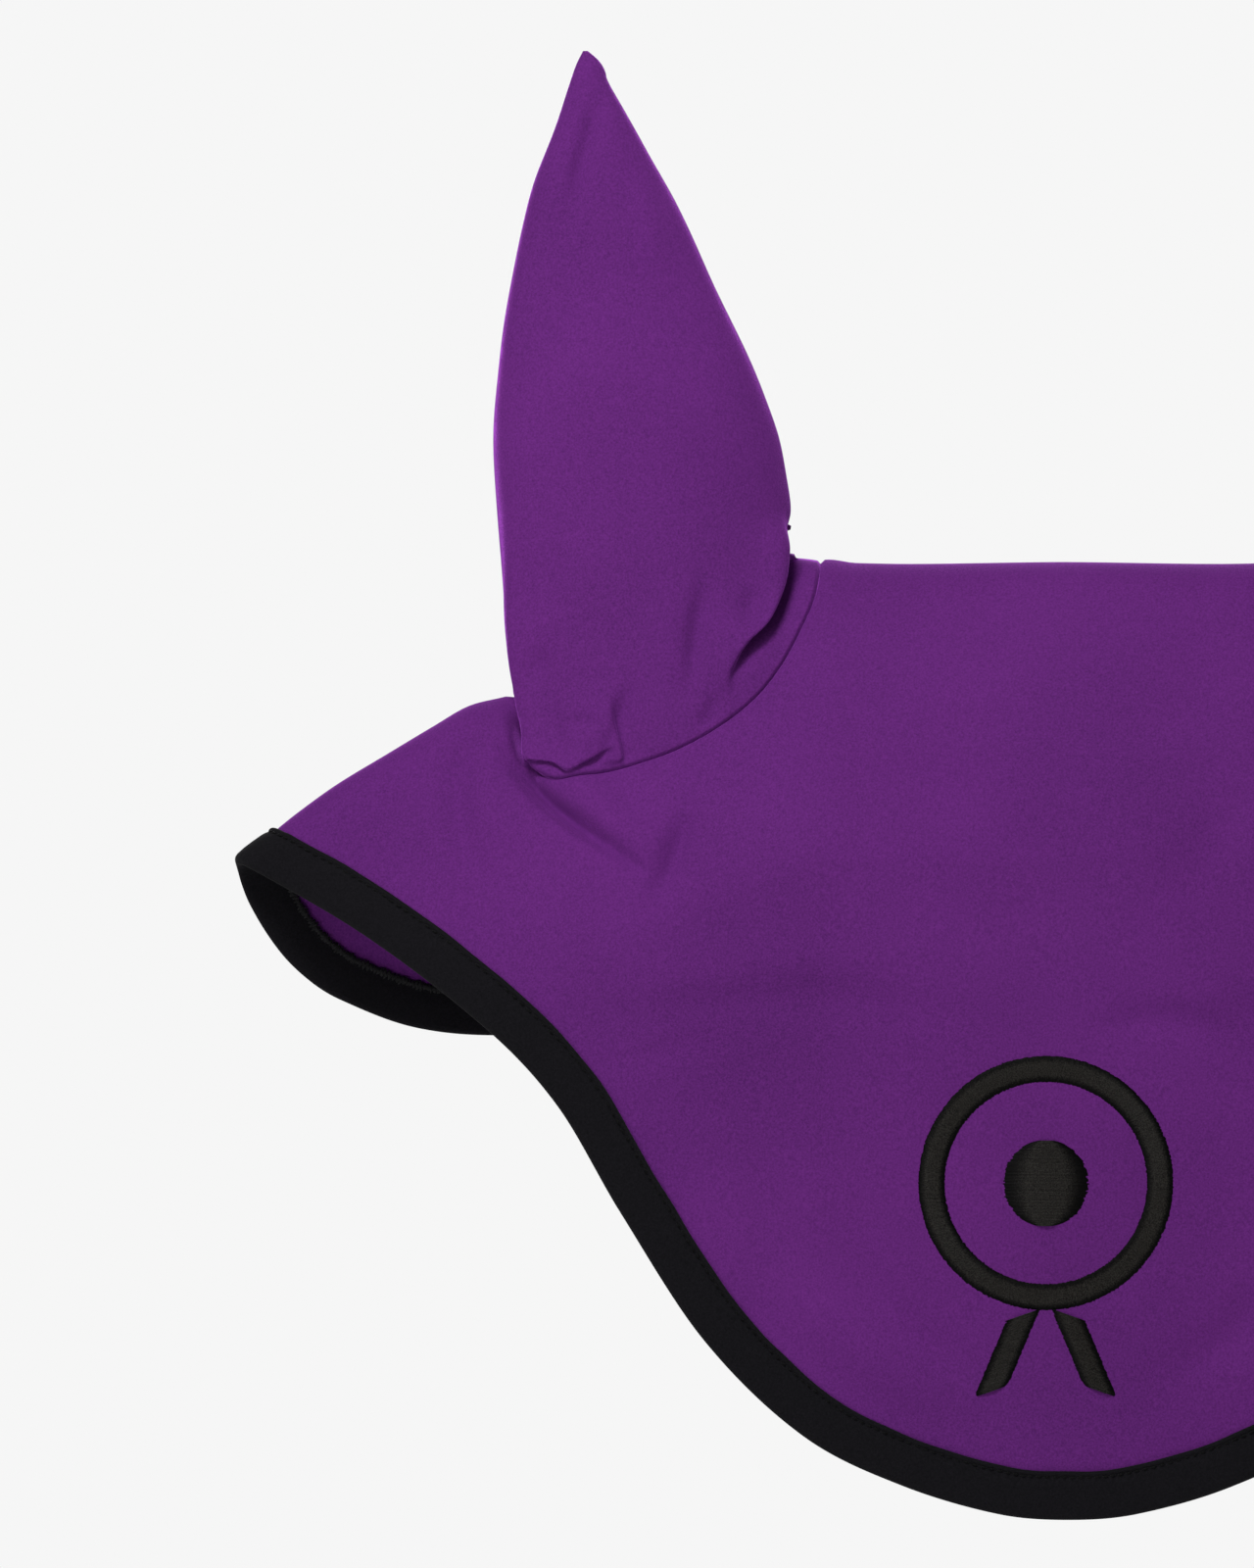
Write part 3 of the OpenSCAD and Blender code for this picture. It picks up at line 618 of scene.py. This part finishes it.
# ---- materials ----
class Shader:
    """A material's node tree, built a node at a time."""

    def __init__(self, name, **values):
        self.material = bpy.data.materials.new(name)
        self.material.use_nodes = True
        self.tree = self.material.node_tree
        self.skin = self.tree.nodes["Principled BSDF"]
        for key, value in values.items():
            self.skin.inputs[key.replace("_", " ")].default_value = value

    def node(self, kind, inputs=(), **settings):
        n = self.tree.nodes.new("ShaderNode" + kind)
        for key, value in settings.items():
            setattr(n, key, value)
        for key, value in dict(inputs).items():
            if isinstance(value, bpy.types.NodeSocket):
                self.tree.links.new(value, n.inputs[key])
            else:
                n.inputs[key].default_value = value
        return n

    def link(self, output, key):
        self.tree.links.new(output, self.skin.inputs[key])

    def noise(self, coords, scale, detail=2.0, rough=0.5):
        values = {"Vector": coords, "Scale": scale, "Detail": detail, "Roughness": rough}
        return self.node("TexNoise", values).outputs["Fac"]

    def tint(self, amount, low, high, start=0.3, end=0.7):
        """A colour between two, as an amount goes from start to end."""
        ramp = self.node("ValToRGB", {"Fac": amount})
        ramp.color_ramp.elements[0].position = start
        ramp.color_ramp.elements[1].position = end
        ramp.color_ramp.elements[0].color = (*low, 1)
        ramp.color_ramp.elements[1].color = (*high, 1)
        self.link(ramp.outputs["Color"], "Base Color")

    def bump(self, height, strength, distance, under=None):
        inputs = {"Height": height, "Strength": strength, "Distance": distance}
        if under:
            inputs["Normal"] = under
        return self.node("Bump", inputs).outputs["Normal"]


def knit(name, low, high, sheen, sheen_tint, pitch, strength):
    """A fine stretch jersey: columns of stitches with a grainy, slightly fuzzy face."""
    m = Shader(
        name, Roughness=0.9, Specular_IOR_Level=0.05, Sheen_Weight=sheen, Sheen_Roughness=0.28,
        Sheen_Tint=(*sheen_tint, 1),
    )
    coords = m.node("TexCoord")
    grain = m.noise(coords.outputs["Object"], 1500, 3.0, 0.7)
    patch = m.noise(coords.outputs["Object"], 14, 2.0)
    share = {"Factor": 0.25, "A": grain, "B": patch}
    m.tint(m.node("Mix", share).outputs["Result"], low, high)
    wales = m.node(
        "TexWave", {"Vector": coords.outputs["UV"], "Scale": pitch, "Distortion": 0.6, "Detail": 1.0},
        wave_type="BANDS", bands_direction="X",
    )
    courses = m.node(
        "TexWave", {"Vector": coords.outputs["UV"], "Scale": pitch * 1.3, "Distortion": 0.8},
        wave_type="BANDS", bands_direction="Y",
    )
    weave = m.node("Math", {0: wales.outputs["Fac"], 1: courses.outputs["Fac"]}, operation="MULTIPLY")
    fine = m.bump(weave.outputs[0], strength, 0.0002)
    m.link(m.bump(grain, strength * 0.8, 0.0003, fine), "Normal")
    return m.material


def thread(name, low, high, roughness, specular, scale):
    """Twisted dull thread, finely mottled along its length."""
    m = Shader(name, Roughness=roughness, Specular_IOR_Level=specular, Sheen_Weight=0.02)
    coords = m.node("TexCoord")
    fibres = m.noise(coords.outputs["Object"], scale, 2.0, 0.7)
    m.tint(fibres, low, high)
    m.link(m.bump(fibres, 0.5, 0.0002), "Normal")
    return m.material


def satin_thread(low, high):
    """Shiny dark thread with fine bright specks painted in as glints, and painted shade towards
    each stroke's edges, where the stitches turn down into the cloth, so that its crest reads as a
    painted highlight. Its UV map's V goes from -1 to 1 across a stroke."""
    m = Shader("satin_thread", Roughness=0.4, Specular_IOR_Level=0.05, Sheen_Weight=0.02)
    coords = m.node("TexCoord")
    # Bright specks in the colour are painted glints on the thread. The same noise also makes its bump.
    glint_flecks = m.noise(coords.outputs["Object"], 2600, 3.0, 0.8)
    # Painted shade: the colour darkens towards each stroke's edges, where the stitches turn down into
    # the cloth, which leaves a painted highlight on the crest.
    across = m.node("SeparateXYZ", {"Vector": coords.outputs["UV"]})
    aside = m.node("Math", {0: across.outputs["Y"]}, operation="ABSOLUTE")
    painted_edge_shade = m.node("MapRange", {
        "Value": aside.outputs[0], "From Min": 1.0, "From Max": 0.45, "To Min": 0.45, "To Max": 1.0,
    })
    amount = m.node("Math", {0: glint_flecks, 1: painted_edge_shade.outputs["Result"]}, operation="MULTIPLY")
    m.tint(amount.outputs[0], low, high, 0.36, 0.64)
    m.link(m.bump(glint_flecks, 0.5, 0.0002), "Normal")
    return m.material


def felted(name, low, high, scale):
    """Pressed, non-woven or napped cloth without a visible weave."""
    m = Shader(name, Roughness=0.95, Specular_IOR_Level=0.1, Sheen_Weight=0.03, Sheen_Roughness=0.5)
    coords = m.node("TexCoord")
    nap = m.noise(coords.outputs["Object"], scale, 4.0, 0.7)
    m.tint(nap, low, high)
    m.link(m.bump(nap, 0.35, 0.0004), "Normal")
    return m.material


PURPLE = knit(
    "purple_jersey", (0.066, 0.0110, 0.101), (0.140, 0.0225, 0.200), sheen=0.9,
    sheen_tint=(0.7, 0.14, 1.0), pitch=14, strength=0.35,
)
BLACK_TAPE = felted("black_tape", (0.0018, 0.0017, 0.0026), (0.0068, 0.0062, 0.0082), 1500)
BLACK_THREAD = thread("black_thread", (0.002, 0.002, 0.0025), (0.015, 0.015, 0.016), 0.7, 0.15, 3000)
DARK_THREAD = thread("dark_thread", (0.0003, 0.0003, 0.0004), (0.003, 0.003, 0.0035), 0.7, 0.1, 3000)
# The satin's bright colour shows only in painted glints and a painted highlight along each stroke's
# crest. Its dark colour carries the painted shade at the stroke's edges.
SATIN = satin_thread((0.0002, 0.0002, 0.0002), (0.028, 0.026, 0.023))
BACKING = felted("stabiliser", (0.5, 0.49, 0.52), (0.62, 0.6, 0.64), 700)
LABEL = felted("label_tape", (0.7, 0.7, 0.69), (0.8, 0.8, 0.79), 1200)


# ---- body panels ----
SLOPE_COLS, HOLE_COLS, CROWN_COLS = 52, 92, 48
TIP_TURN = math.radians(12)


def panel_tops(side):
    """The (x, z) at which a panel's columns start, from the left tip to the right one."""
    turns = np.linspace(TIP_TURN, math.acos(SHOULDER_HALF / TIP_HALF), SLOPE_COLS, endpoint=False)
    slope = -TIP_HALF * np.cos(turns)
    crown = -CROWN_HALF * np.linspace(1, 0, CROWN_COLS + 1)[1:]
    hole = hole_point(side, np.linspace(1, 0, HOLE_COLS))
    x = np.concatenate([slope, hole[:, 0], crown])
    z = np.concatenate([top_z(slope), hole[:, 2], top_z(crown)])
    return np.concatenate([x, -x[-2::-1]]), np.concatenate([z, z[-2::-1]])


def panel(side, rows):
    """A panel's smooth grid, then its worn outer and inner surfaces."""
    x, z = panel_tops(side)
    turn = np.arccos(-x / TIP_HALF)
    foot = on_loop(turn if side == FRONT else 2 * np.pi - turn, EDGE_INSET, 0, worn=False)
    down = np.linspace(1, 0, rows) ** 1.6  # rows close up towards the ear holes
    gx = mix(x[:, None], foot[:, :1], down)
    gz = mix(z[:, None], foot[:, 2:], down)
    smooth = smooth_body(side, gx, gz)
    n = unit(gradient(side, smooth))
    lift = body_relief(side, gx, gz) + hole_groove(side, gx, gz)
    outer = smooth + n * lift[..., None]
    return smooth, outer, outer - n * CLOTH


# ---- edge binding ----
def loop_point(turn):
    turn = np.mod(turn, 2 * np.pi)
    x = -TIP_HALF * np.cos(turn)
    front = smooth_body(FRONT, x, edge_z(FRONT, x))
    back = smooth_body(BACK, x, edge_z(BACK, x))
    p = np.where((turn < np.pi)[..., None], front, back)
    p[..., 1] *= np.abs(np.sin(turn)) > 1e-9
    return p


def on_loop(turn, inward, out, worn=True):
    """Points `inward` from the binding's fold and `out` from the cloth. The loop runs from the left
    tip (0) along the flap's edge to the right tip (pi) and back along the neck's edge."""
    turn, inward, out = np.broadcast_arrays(np.asarray(turn, float), inward, out)
    ahead = unit(loop_point(turn + 0.017) - loop_point(turn - 0.017))
    p = loop_point(turn)
    # The flap's edge is drawn in and the neck's edge let out by the same small amount.
    inward = inward + EDGE_SHIFT * np.clip(8 * np.sin(turn), -1, 1)
    result = np.empty(turn.shape + (3,))
    in_front = np.mod(turn, 2 * np.pi) < np.pi
    for side, pick in ((FRONT, in_front), (BACK, ~in_front)):
        n = unit(gradient(side, p[pick]))
        q = onto_body(side, p[pick] + unit(np.cross(n, ahead[pick])) * inward[pick][..., None])
        result[pick] = cloth_point(side, q, out[pick]) if worn else q
    return result


def even_turns(step):
    """Angles round the loop that lie about this many millimetres apart."""
    turn = np.linspace(0, 2 * np.pi, 6001)
    reach = np.concatenate([[0], np.cumsum(np.linalg.norm(np.diff(loop_point(turn), axis=0), axis=1))])
    n = int(round(reach[-1] / step))
    return np.interp(np.arange(n) * reach[-1] / n, reach, turn), reach[-1]


BAND_OUT = GAP + BINDING_T
BAND_IN = -(CLOTH + GAP + BINDING_T)
STITCH_PITCH = 2.9
STITCH = 1.9
STITCH_IN = 1.8  # from the binding's edge to its stitches
STITCH_R = 0.33
STITCH_STEP = 0.1  # the loop is read off this finely to place the stitches
ZIGZAG_PITCH = 1.4
ZIGZAG_REACH = 1.4
ZIGZAG_R = 0.42


def edge_binding():
    """The folded tape, and the length of its run. Its section goes from the edge on the outside,
    over the dip of the stitches and round the fold, to the edge on the inside and back."""
    turn, length = even_turns(0.8)
    w = BINDING_W
    section = np.array([
        (w - 0.2, GAP), (w, GAP + 0.25), (w, BAND_OUT - 0.35), (w - 0.25, BAND_OUT - 0.05),
        (w - 0.6, BAND_OUT + 0.1), (w - 1.1, BAND_OUT + 0.02), (w - 1.5, BAND_OUT - 0.22),
        (w - 1.8, BAND_OUT - 0.3), (w - 2.1, BAND_OUT - 0.22), (w - 2.8, BAND_OUT + 0.05),
        (w - 4.4, BAND_OUT + 0.25), (w * 0.5, BAND_OUT + 0.34), (w * 0.3, BAND_OUT + 0.25),
        (2.0, BAND_OUT), (1.0, BAND_OUT * 0.72), (0.4, BAND_OUT * 0.3), (0.1, -0.1),
        (0.0, -CLOTH / 2), (0.1, -CLOTH), (0.4, BAND_IN * 0.7), (1.0, BAND_IN * 0.88),
        (2.0, BAND_IN), (w * 0.3, BAND_IN - 0.15), (w * 0.5, BAND_IN - 0.2),
        (w - 4.4, BAND_IN - 0.1), (w - 3.6, BAND_IN + 0.25), (w - 2.8, BAND_IN - 0.05),
        (w - 2.1, BAND_IN + 0.3), (w - 2.1, -CLOTH - GAP), (w * 0.5, -CLOTH - GAP),
        (BINDING_T + 0.5, -CLOTH - GAP), (BINDING_T + 0.3, -CLOTH / 2), (BINDING_T + 0.5, GAP),
        (w * 0.5, GAP),
    ])
    run = np.linspace(0, 2 * np.pi, len(turn), endpoint=False)[:, None]
    wave = 0.08 * np.sin(37 * run + 1.1) + 0.06 * np.sin(61 * run + 4.0)
    puff = 0.12 * np.sin(29 * run + 2.0) + 0.1 * np.sin(83 * run)
    stitch = 1 - np.abs(np.sin(run / 2 * round(length / STITCH_PITCH)))
    inward, out = section[:, 0], section[:, 1]
    upper = ease((inward - 1) / 4) * (out > 0)
    groove = np.exp(-(((inward - (w - STITCH_IN)) / 0.9) ** 2)) * (out > 0)
    rings = on_loop(
        turn[:, None], inward + wave * ease(inward / 6), out + puff * upper - 0.25 * stitch * groove
    )
    return loft("binding_tape", [rings], BLACK_TAPE, closed=True, turned=True), length


def topstitch():
    fine, length = even_turns(STITCH_STEP)
    count = int(length / STITCH_PITCH)
    place = np.linspace(0, len(fine), count, endpoint=False)
    place = place[np.abs(np.sin(fine[place.astype(int)])) > 0.1]
    t = np.linspace(0, 1, 6)
    index = (place[:, None] + t * STITCH / STITCH_STEP).astype(int) % len(fine)
    dip = np.array([-0.3, -0.02, 0.1, 0.1, -0.02, -0.3])
    rng = np.random.default_rng(5)
    sway = rng.normal(0, 0.07, (len(place), 1)) + np.linspace(-0.05, 0.05, 6)
    paths = on_loop(fine[index], BINDING_W - STITCH_IN + sway, BAND_OUT - 0.1 + dip)
    radius = np.array([0.14, 0.3, STITCH_R, STITCH_R, 0.3, 0.14])
    parts = [thread_rings(p, radius) for p in paths]
    return loft("top_stitches", parts, DARK_THREAD)


def understitch():
    turn, length = even_turns(0.25)
    run = np.arange(len(turn)) * length / len(turn)
    phase = 2 * np.pi * np.round(length / ZIGZAG_PITCH) * run / length
    zigzag = 2 / np.pi * np.arcsin(np.sin(phase + 0.5 * np.sin(phase / 7.0)))
    reach = ZIGZAG_REACH + 0.4 * np.sin(phase / 5.0 + 1)
    path = on_loop(turn, BINDING_W - 1.9 + reach * zigzag, BAND_IN - 0.3 + 0.5 * ease(zigzag))
    return loft("under_stitches", [thread_rings(path, ZIGZAG_R, 5)], BLACK_THREAD, closed=True)


# ---- turned-in seams ----
SEAM_W = 5
SEAM_T = 1.8
SEAM_GAP = 0.8
OVERLOCK_PITCH = 2.2
OVERLOCK_LOOP = 0.22


def strip_section(run, width):
    """Across and up offsets of an allowance of two layers with an overlocked edge."""
    a = np.array([0, 0.25, 0.5, 0.75, 0.92, 1.0, 1.0, 0.92, 0.75, 0.5, 0.25, 0])
    b = np.array([1, 1, 1, 1, 0.9, 0.35, -0.35, -0.9, -1, -1, -1, -1]) * SEAM_T / 2
    loops = OVERLOCK_LOOP * np.sin(2 * np.pi * run / OVERLOCK_PITCH)[:, None] * (a > 0.4)
    return a * np.broadcast_to(width, run.shape)[:, None] + loops, b * (1 + 0.5 * loops)


def run_of(path):
    return np.concatenate([[0], np.cumsum(np.linalg.norm(np.diff(path, axis=0), axis=1))])


def seam_strip(path, across, up, width):
    """An allowance that hangs from a path along `across`."""
    a, b = strip_section(run_of(path), width)
    return path[:, None] + across[:, None] * a[..., None] + up[:, None] * b[..., None]


def top_line_seam(x0, x1):
    x = np.linspace(x0, x1, int(abs(x1 - x0) / 0.7))
    slope = (top_z(x + 0.5) - top_z(x - 0.5))
    down = unit(np.stack([slope, 0 * x, -1 + 0 * x], -1))
    path = np.stack([x, 0 * x, top_z(x)], -1) + down * (CLOTH + SEAM_GAP)
    return seam_strip(path, down, np.broadcast_to([0.0, 1.0, 0.0], path.shape), SEAM_W)


def hole_seam(side):
    c = np.linspace(0.07, 0.93, 170)
    p = hole_point(side, c)
    n = unit(gradient(side, p))
    down = unit(np.cross(np.gradient(p, axis=0), n))
    down = np.where(down[:, 2:] > 0, -down, down)
    inward, out = strip_section(run_of(p), SEAM_W - 1)
    q = onto_body(side, p[:, None] + down[:, None] * (3 + inward)[..., None])
    return cloth_point(side, q, out - CLOTH - SEAM_GAP - SEAM_T / 2)


def ear_edge_seam(c):
    h = np.linspace(0.04, 0.9, 150)
    p = oval(FRONT, np.full(len(h), float(c)), h)
    p[:, 1] = 0
    inwards = np.array([-1.0, 0, 0]) * (1 if c == 0 else -1)
    path = p + inwards * (CLOTH + GAP + 0.5)
    return seam_strip(
        path, np.broadcast_to(inwards, p.shape), np.broadcast_to([0.0, 1.0, 0.0], p.shape),
        np.linspace(SEAM_W, SEAM_W * 0.5, len(h)),
    )


# ---- embroidery and label ----
THREAD_PITCH = 0.45
THREAD_RINGS = 5
SATIN_T = 1.15
SATIN_POINTS = 19  # across a thread
TAIL_LONG = 24
TAIL_WIDE = STROKE * 1.35
BACKING_T = 0.4
BACKING_FACE = CLOTH + GAP + 1.25 * BACKING_T  # from the cloth's outer surface


def over_front(x, z, out):
    return cloth_point(FRONT, smooth_body(FRONT, x, z), out)


def satin(name, centre, across, half, seed, closed=False):
    """Satin stitches side by side along a line of centres, with THREAD_RINGS of them to a thread."""
    n = len(centre)
    rng = np.random.default_rng(seed)
    which = np.arange(n) // THREAD_RINGS
    count = which[-1] + 1
    reach = np.ones((2, count)) + rng.normal(0, 0.022, (2, count))
    tall = 1 + rng.normal(0, 0.05, count)
    ridge = np.sin(np.pi * (np.arange(n) % THREAD_RINGS + 0.5) / THREAD_RINGS)
    u = np.sin(np.linspace(-np.pi / 2, np.pi / 2, SATIN_POINTS))
    side = np.where(u < 0, reach[0][which][:, None], reach[1][which][:, None])
    xz = centre[:, None] + across[:, None] * (half[:, None] * u * side)[..., None]
    dome = (1 - np.abs(u) ** 2.4) ** 0.7
    top = -0.15 + (SATIN_T * tall[which, None] + 0.2 * (ridge[:, None] - 1)) * dome
    upper = over_front(xz[..., 0], xz[..., 1], top)
    lower = over_front(xz[:, ::-1, 0], xz[:, ::-1, 1], np.full(top.shape, -0.3))
    # The same stitches, flatter, where they come through the backing inside.
    below = over_front(xz[:, ::-1, 0], xz[:, ::-1, 1], -BACKING_FACE - 0.45 * top[:, ::-1])
    above = over_front(xz[..., 0], xz[..., 1], np.full(top.shape, -BACKING_FACE + 0.1))
    parts = [np.concatenate([upper, lower], 1), np.concatenate([above, below], 1)]
    # V runs from -1 to 1 across each stroke. The satin material uses it to paint shade towards the
    # stroke's edges and a highlight on its crest.
    shares = np.broadcast_to(np.r_[u, u[::-1]], upper.shape[:1] + (2 * len(u),))
    uv = np.stack([arc_uv(parts[0])[..., 0], shares], -1)
    return loft(name, parts, SATIN, closed, maps=[uv, uv])


def emblem_ring():
    mid = EMBLEM_R - STROKE / 2
    n = THREAD_RINGS * int(2 * np.pi * mid / THREAD_PITCH)
    a = np.arange(n) * 2 * np.pi / n
    out = np.stack([np.sin(a), np.cos(a)], -1)
    lean = a + 0.12
    across = np.stack([np.sin(lean), np.cos(lean)], -1)
    centre = np.array([EMBLEM_X, EMBLEM_Z]) + mid * out
    return satin("satin_ring", centre, across, np.full(n, STROKE / 2), 11, closed=True)


def emblem_centre():
    r = EMBLEM_R * 0.34
    n = THREAD_RINGS * int(2 * r / THREAD_PITCH)
    down = np.linspace(0.985, -0.985, n)
    centre = np.stack([np.full(n, EMBLEM_X), EMBLEM_Z + r * down], -1)
    across = np.broadcast_to([1.0, 0.0], centre.shape)
    return satin("satin_centre", centre, across, r * np.sqrt(1 - down**2), 12)


def emblem_tail(name, hand, seed):
    """A ribbon tail that leaves the ring, splays outwards and ends in a slant."""
    n = THREAD_RINGS * int(TAIL_LONG / THREAD_PITCH)
    t = np.linspace(0, 1, n)
    x = EMBLEM_X + hand * (7 + 0.42 * TAIL_LONG * t)
    centre = np.stack([x, EMBLEM_Z - EMBLEM_R - 1.2 - TAIL_LONG * t], -1)
    across = unit(np.stack([np.full(n, 1.0), np.full(n, -0.35 * hand)], -1))
    return satin(name, centre, across, np.full(n, TAIL_WIDE / 2) * ease(0.75 + (1 - t) * 3), seed)


def patch(name, side, x0, x1, z0, z1, lift, thick, material, cols, rows):
    """A rectangle of thin cloth on the inside of a panel."""
    x, z = np.meshgrid(np.linspace(x0, x1, cols), np.linspace(z0, z1, rows), indexing="ij")
    p = smooth_body(side, x, z)
    edge = np.minimum(np.minimum(x - x0, x1 - x), np.minimum(z - z0, z1 - z))
    puff = 0.25 * thick * ease(edge / 2) + 0.12 * ripple(x, z, 16, 21)
    far = cloth_point(side, p, -CLOTH - lift)
    near = cloth_point(side, p, -CLOTH - lift - thick - puff)
    return sheet_mesh(name, far, near, material, side == BACK)


# ---- assembly ----
def put(obj, body, slot, *nodes):
    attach(obj, body)
    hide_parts(*nodes)
    return obj


def bend(obj, hand, slot, *nodes):
    """Ear cloth, with its placement baked into its mesh and the CAD parts that it stands for hidden.
    """
    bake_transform(obj)
    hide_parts(*nodes)
    return obj


def build_bonnet():
    for side, name, rows in ((FRONT, "front", 150), (BACK, "back", 84)):
        smooth, outer, inner = panel(side, rows)
        cloth = sheet_mesh(name + "_cloth", outer, inner, PURPLE, side == FRONT)
        put(cloth, "bonnet", "purple_cloth", name + "_panel")
    seams = {
        "crown_seam": top_line_seam(-CROWN_HALF + 6, CROWN_HALF - 6),
        "side_seam_left": top_line_seam(-TIP_HALF + BINDING_W + 5, -SHOULDER_HALF - 6),
    }
    seams["side_seam_right"] = mirrored(seams["side_seam_left"], -1)
    for name, rings in seams.items():
        put(loft(name + "_allowance", [rings], PURPLE), "bonnet", "seam_thread", name)
    binding, length = edge_binding()
    put(binding, "bonnet", "black_binding", "edge_binding")
    stitches = [
        put(topstitch(), "bonnet", "black_thread", "binding_topstitch"),
        put(understitch(), "bonnet", "black_thread", "binding_understitch"),
    ]


def build_ear(hand, scale, seed):
    """One ear. Its folds are `scale` times those of the lists."""
    word = "left" if hand == LEFT else "right"
    flip = 1 if hand == LEFT else -1
    front, back = ear_grids(190, 128, 100, scale, seed)
    for name, side, (outer, inner) in (("front", FRONT, front), ("back", BACK, back)):
        outer, inner = mirrored(outer, flip), mirrored(inner, flip)
        turned = (side == FRONT) == (hand == LEFT)
        cloth = sheet_mesh(f"ear_{word}_{name}_cloth", outer, inner, PURPLE, not turned)
        bend(cloth, hand, "purple_cloth", f"ear_{word}_{name}")
        smooth_ear(side, 60, 40, 40)
    edges = [mirrored(ear_edge_seam(c), flip) for c in (0, 1)]
    bend(loft(f"ear_{word}_allowance", edges, PURPLE), hand, "seam_thread", f"ear_{word}_seam")
    holes = [mirrored(hole_seam(side), flip) for side in (FRONT, BACK)]
    base = loft(f"ear_{word}_base_allowance", holes, PURPLE)
    put(base, "bonnet", "seam_thread", f"ear_{word}_base_seam")


def build_emblem():
    parts = {
        "ring": emblem_ring(),
        "centre": emblem_centre(),
        "tail_left": emblem_tail("satin_tail_left", -1, 13),
        "tail_right": emblem_tail("satin_tail_right", 1, 14),
    }
    for name, obj in parts.items():
        put(obj, "bonnet", "embroidery_thread", "emblem_" + name)
    margin = EMBLEM_R + 6
    backing = patch(
        "stabiliser_patch", FRONT, EMBLEM_X - margin, EMBLEM_X + margin,
        EMBLEM_Z - EMBLEM_R - 30, EMBLEM_Z + margin, GAP, BACKING_T, BACKING, 60, 70,
    )
    put(backing, "bonnet", "stabiliser", "emblem_backing")
    foot = -NECK_DROP + BINDING_W + 4
    label = patch("blank_label", BACK, -15, 15, foot, foot + 42, GAP, 0.3, LABEL, 40, 56)
    put(label, "bonnet", "label_tape", "care_label")


# ---- scene ----
def look_at(obj, place, target):
    obj.location = place
    obj.rotation_euler = (Vector(target) - Vector(place)).to_track_quat("-Z", "Y").to_euler()
    bpy.context.scene.collection.objects.link(obj)


def add_camera():
    """Straight on from far enough away that the outline is nearly flat. The frame shows the left
    side and ends a little past the middle."""
    frame_height, distance = 0.496, 4.0
    data = bpy.data.cameras.new("camera")
    data.sensor_width = 36
    data.lens = data.sensor_width * distance / frame_height
    data.clip_end = 50
    camera = bpy.data.objects.new("camera", data)
    place = (-0.138, -distance, -0.0692)
    look_at(camera, place, (place[0], 0, place[2]))
    bpy.context.scene.camera = camera


def add_light(name, place, size, power):
    data = bpy.data.lights.new(name, "AREA")
    data.shape = "DISK"
    data.size = size
    data.energy = power
    light = bpy.data.objects.new(name, data)
    look_at(light, place, LIGHTS_AIM)
    light.visible_camera = False


def add_world(backdrop, ambient):
    """A pale even backdrop that also lights the object softly."""
    world = bpy.data.worlds.new("studio")
    world.use_nodes = True
    bpy.context.scene.world = world
    tree = world.node_tree
    path = tree.nodes.new("ShaderNodeLightPath")
    level = tree.nodes.new("ShaderNodeMapRange")
    level.inputs["To Min"].default_value = ambient
    level.inputs["To Max"].default_value = backdrop
    tree.links.new(path.outputs["Is Camera Ray"], level.inputs["Value"])
    tree.links.new(level.outputs["Result"], tree.nodes["Background"].inputs["Strength"])
    tree.nodes["Background"].inputs["Color"].default_value = (1, 1, 1, 1)


def add_floor(level, solid, gone):
    """A pale round floor whose edge melts into the backdrop."""
    m = Shader("pale_floor", Roughness=0.9, Base_Color=(0.66, 0.66, 0.66, 1), Specular_IOR_Level=0.0)
    coords = m.node("TexCoord")
    far = m.node("VectorMath", {0: coords.outputs["Object"]}, operation="LENGTH")
    fade = m.node("MapRange", {
        "Value": far.outputs["Value"], "From Min": solid, "From Max": gone,
        "To Min": 1.0, "To Max": 0.0,
    })
    m.link(fade.outputs["Result"], "Alpha")
    turn = np.linspace(0, 2 * np.pi, 96, endpoint=False)
    radii = np.linspace(1e-5, gone, 12) / MM
    rings = radii[:, None, None] * np.stack([np.cos(turn), np.sin(turn), 0 * turn], -1)
    faces = grid_faces(len(radii), len(turn), False, True)
    floor = add_mesh("floor", rings.reshape(-1, 3), faces, np.zeros((rings.size // 3, 2)), m.material)
    floor.location = (0, 0, level)


LIGHTS_AIM = (0, 0, -0.08)
LIGHTS = (  # name, place and diameter in metres, power in watts
    ("key", (-0.4, -0.95, 0.8), 0.42, 14.8),
    ("front", (-1.5, -2.3, -0.3), 0.9, 14.6),
    ("fill", (1.8, -2.2, 0.8), 1.4, 1.5),
    ("back", (0.3, 2.2, 1.4), 1.4, 50),
    ("rim", (2.2, 0.6, 0.5), 1.0, 20),
)

bpy.context.scene.view_settings.view_transform = "Standard"
build_bonnet()
build_ear(LEFT, 1.0, 31)
build_ear(RIGHT, 0.8, 37)
build_emblem()
add_camera()
add_world(backdrop=0.9216, ambient=0.25)
add_floor(level=-0.4, solid=0.6, gone=1.0)
for light in LIGHTS:
    add_light(*light)
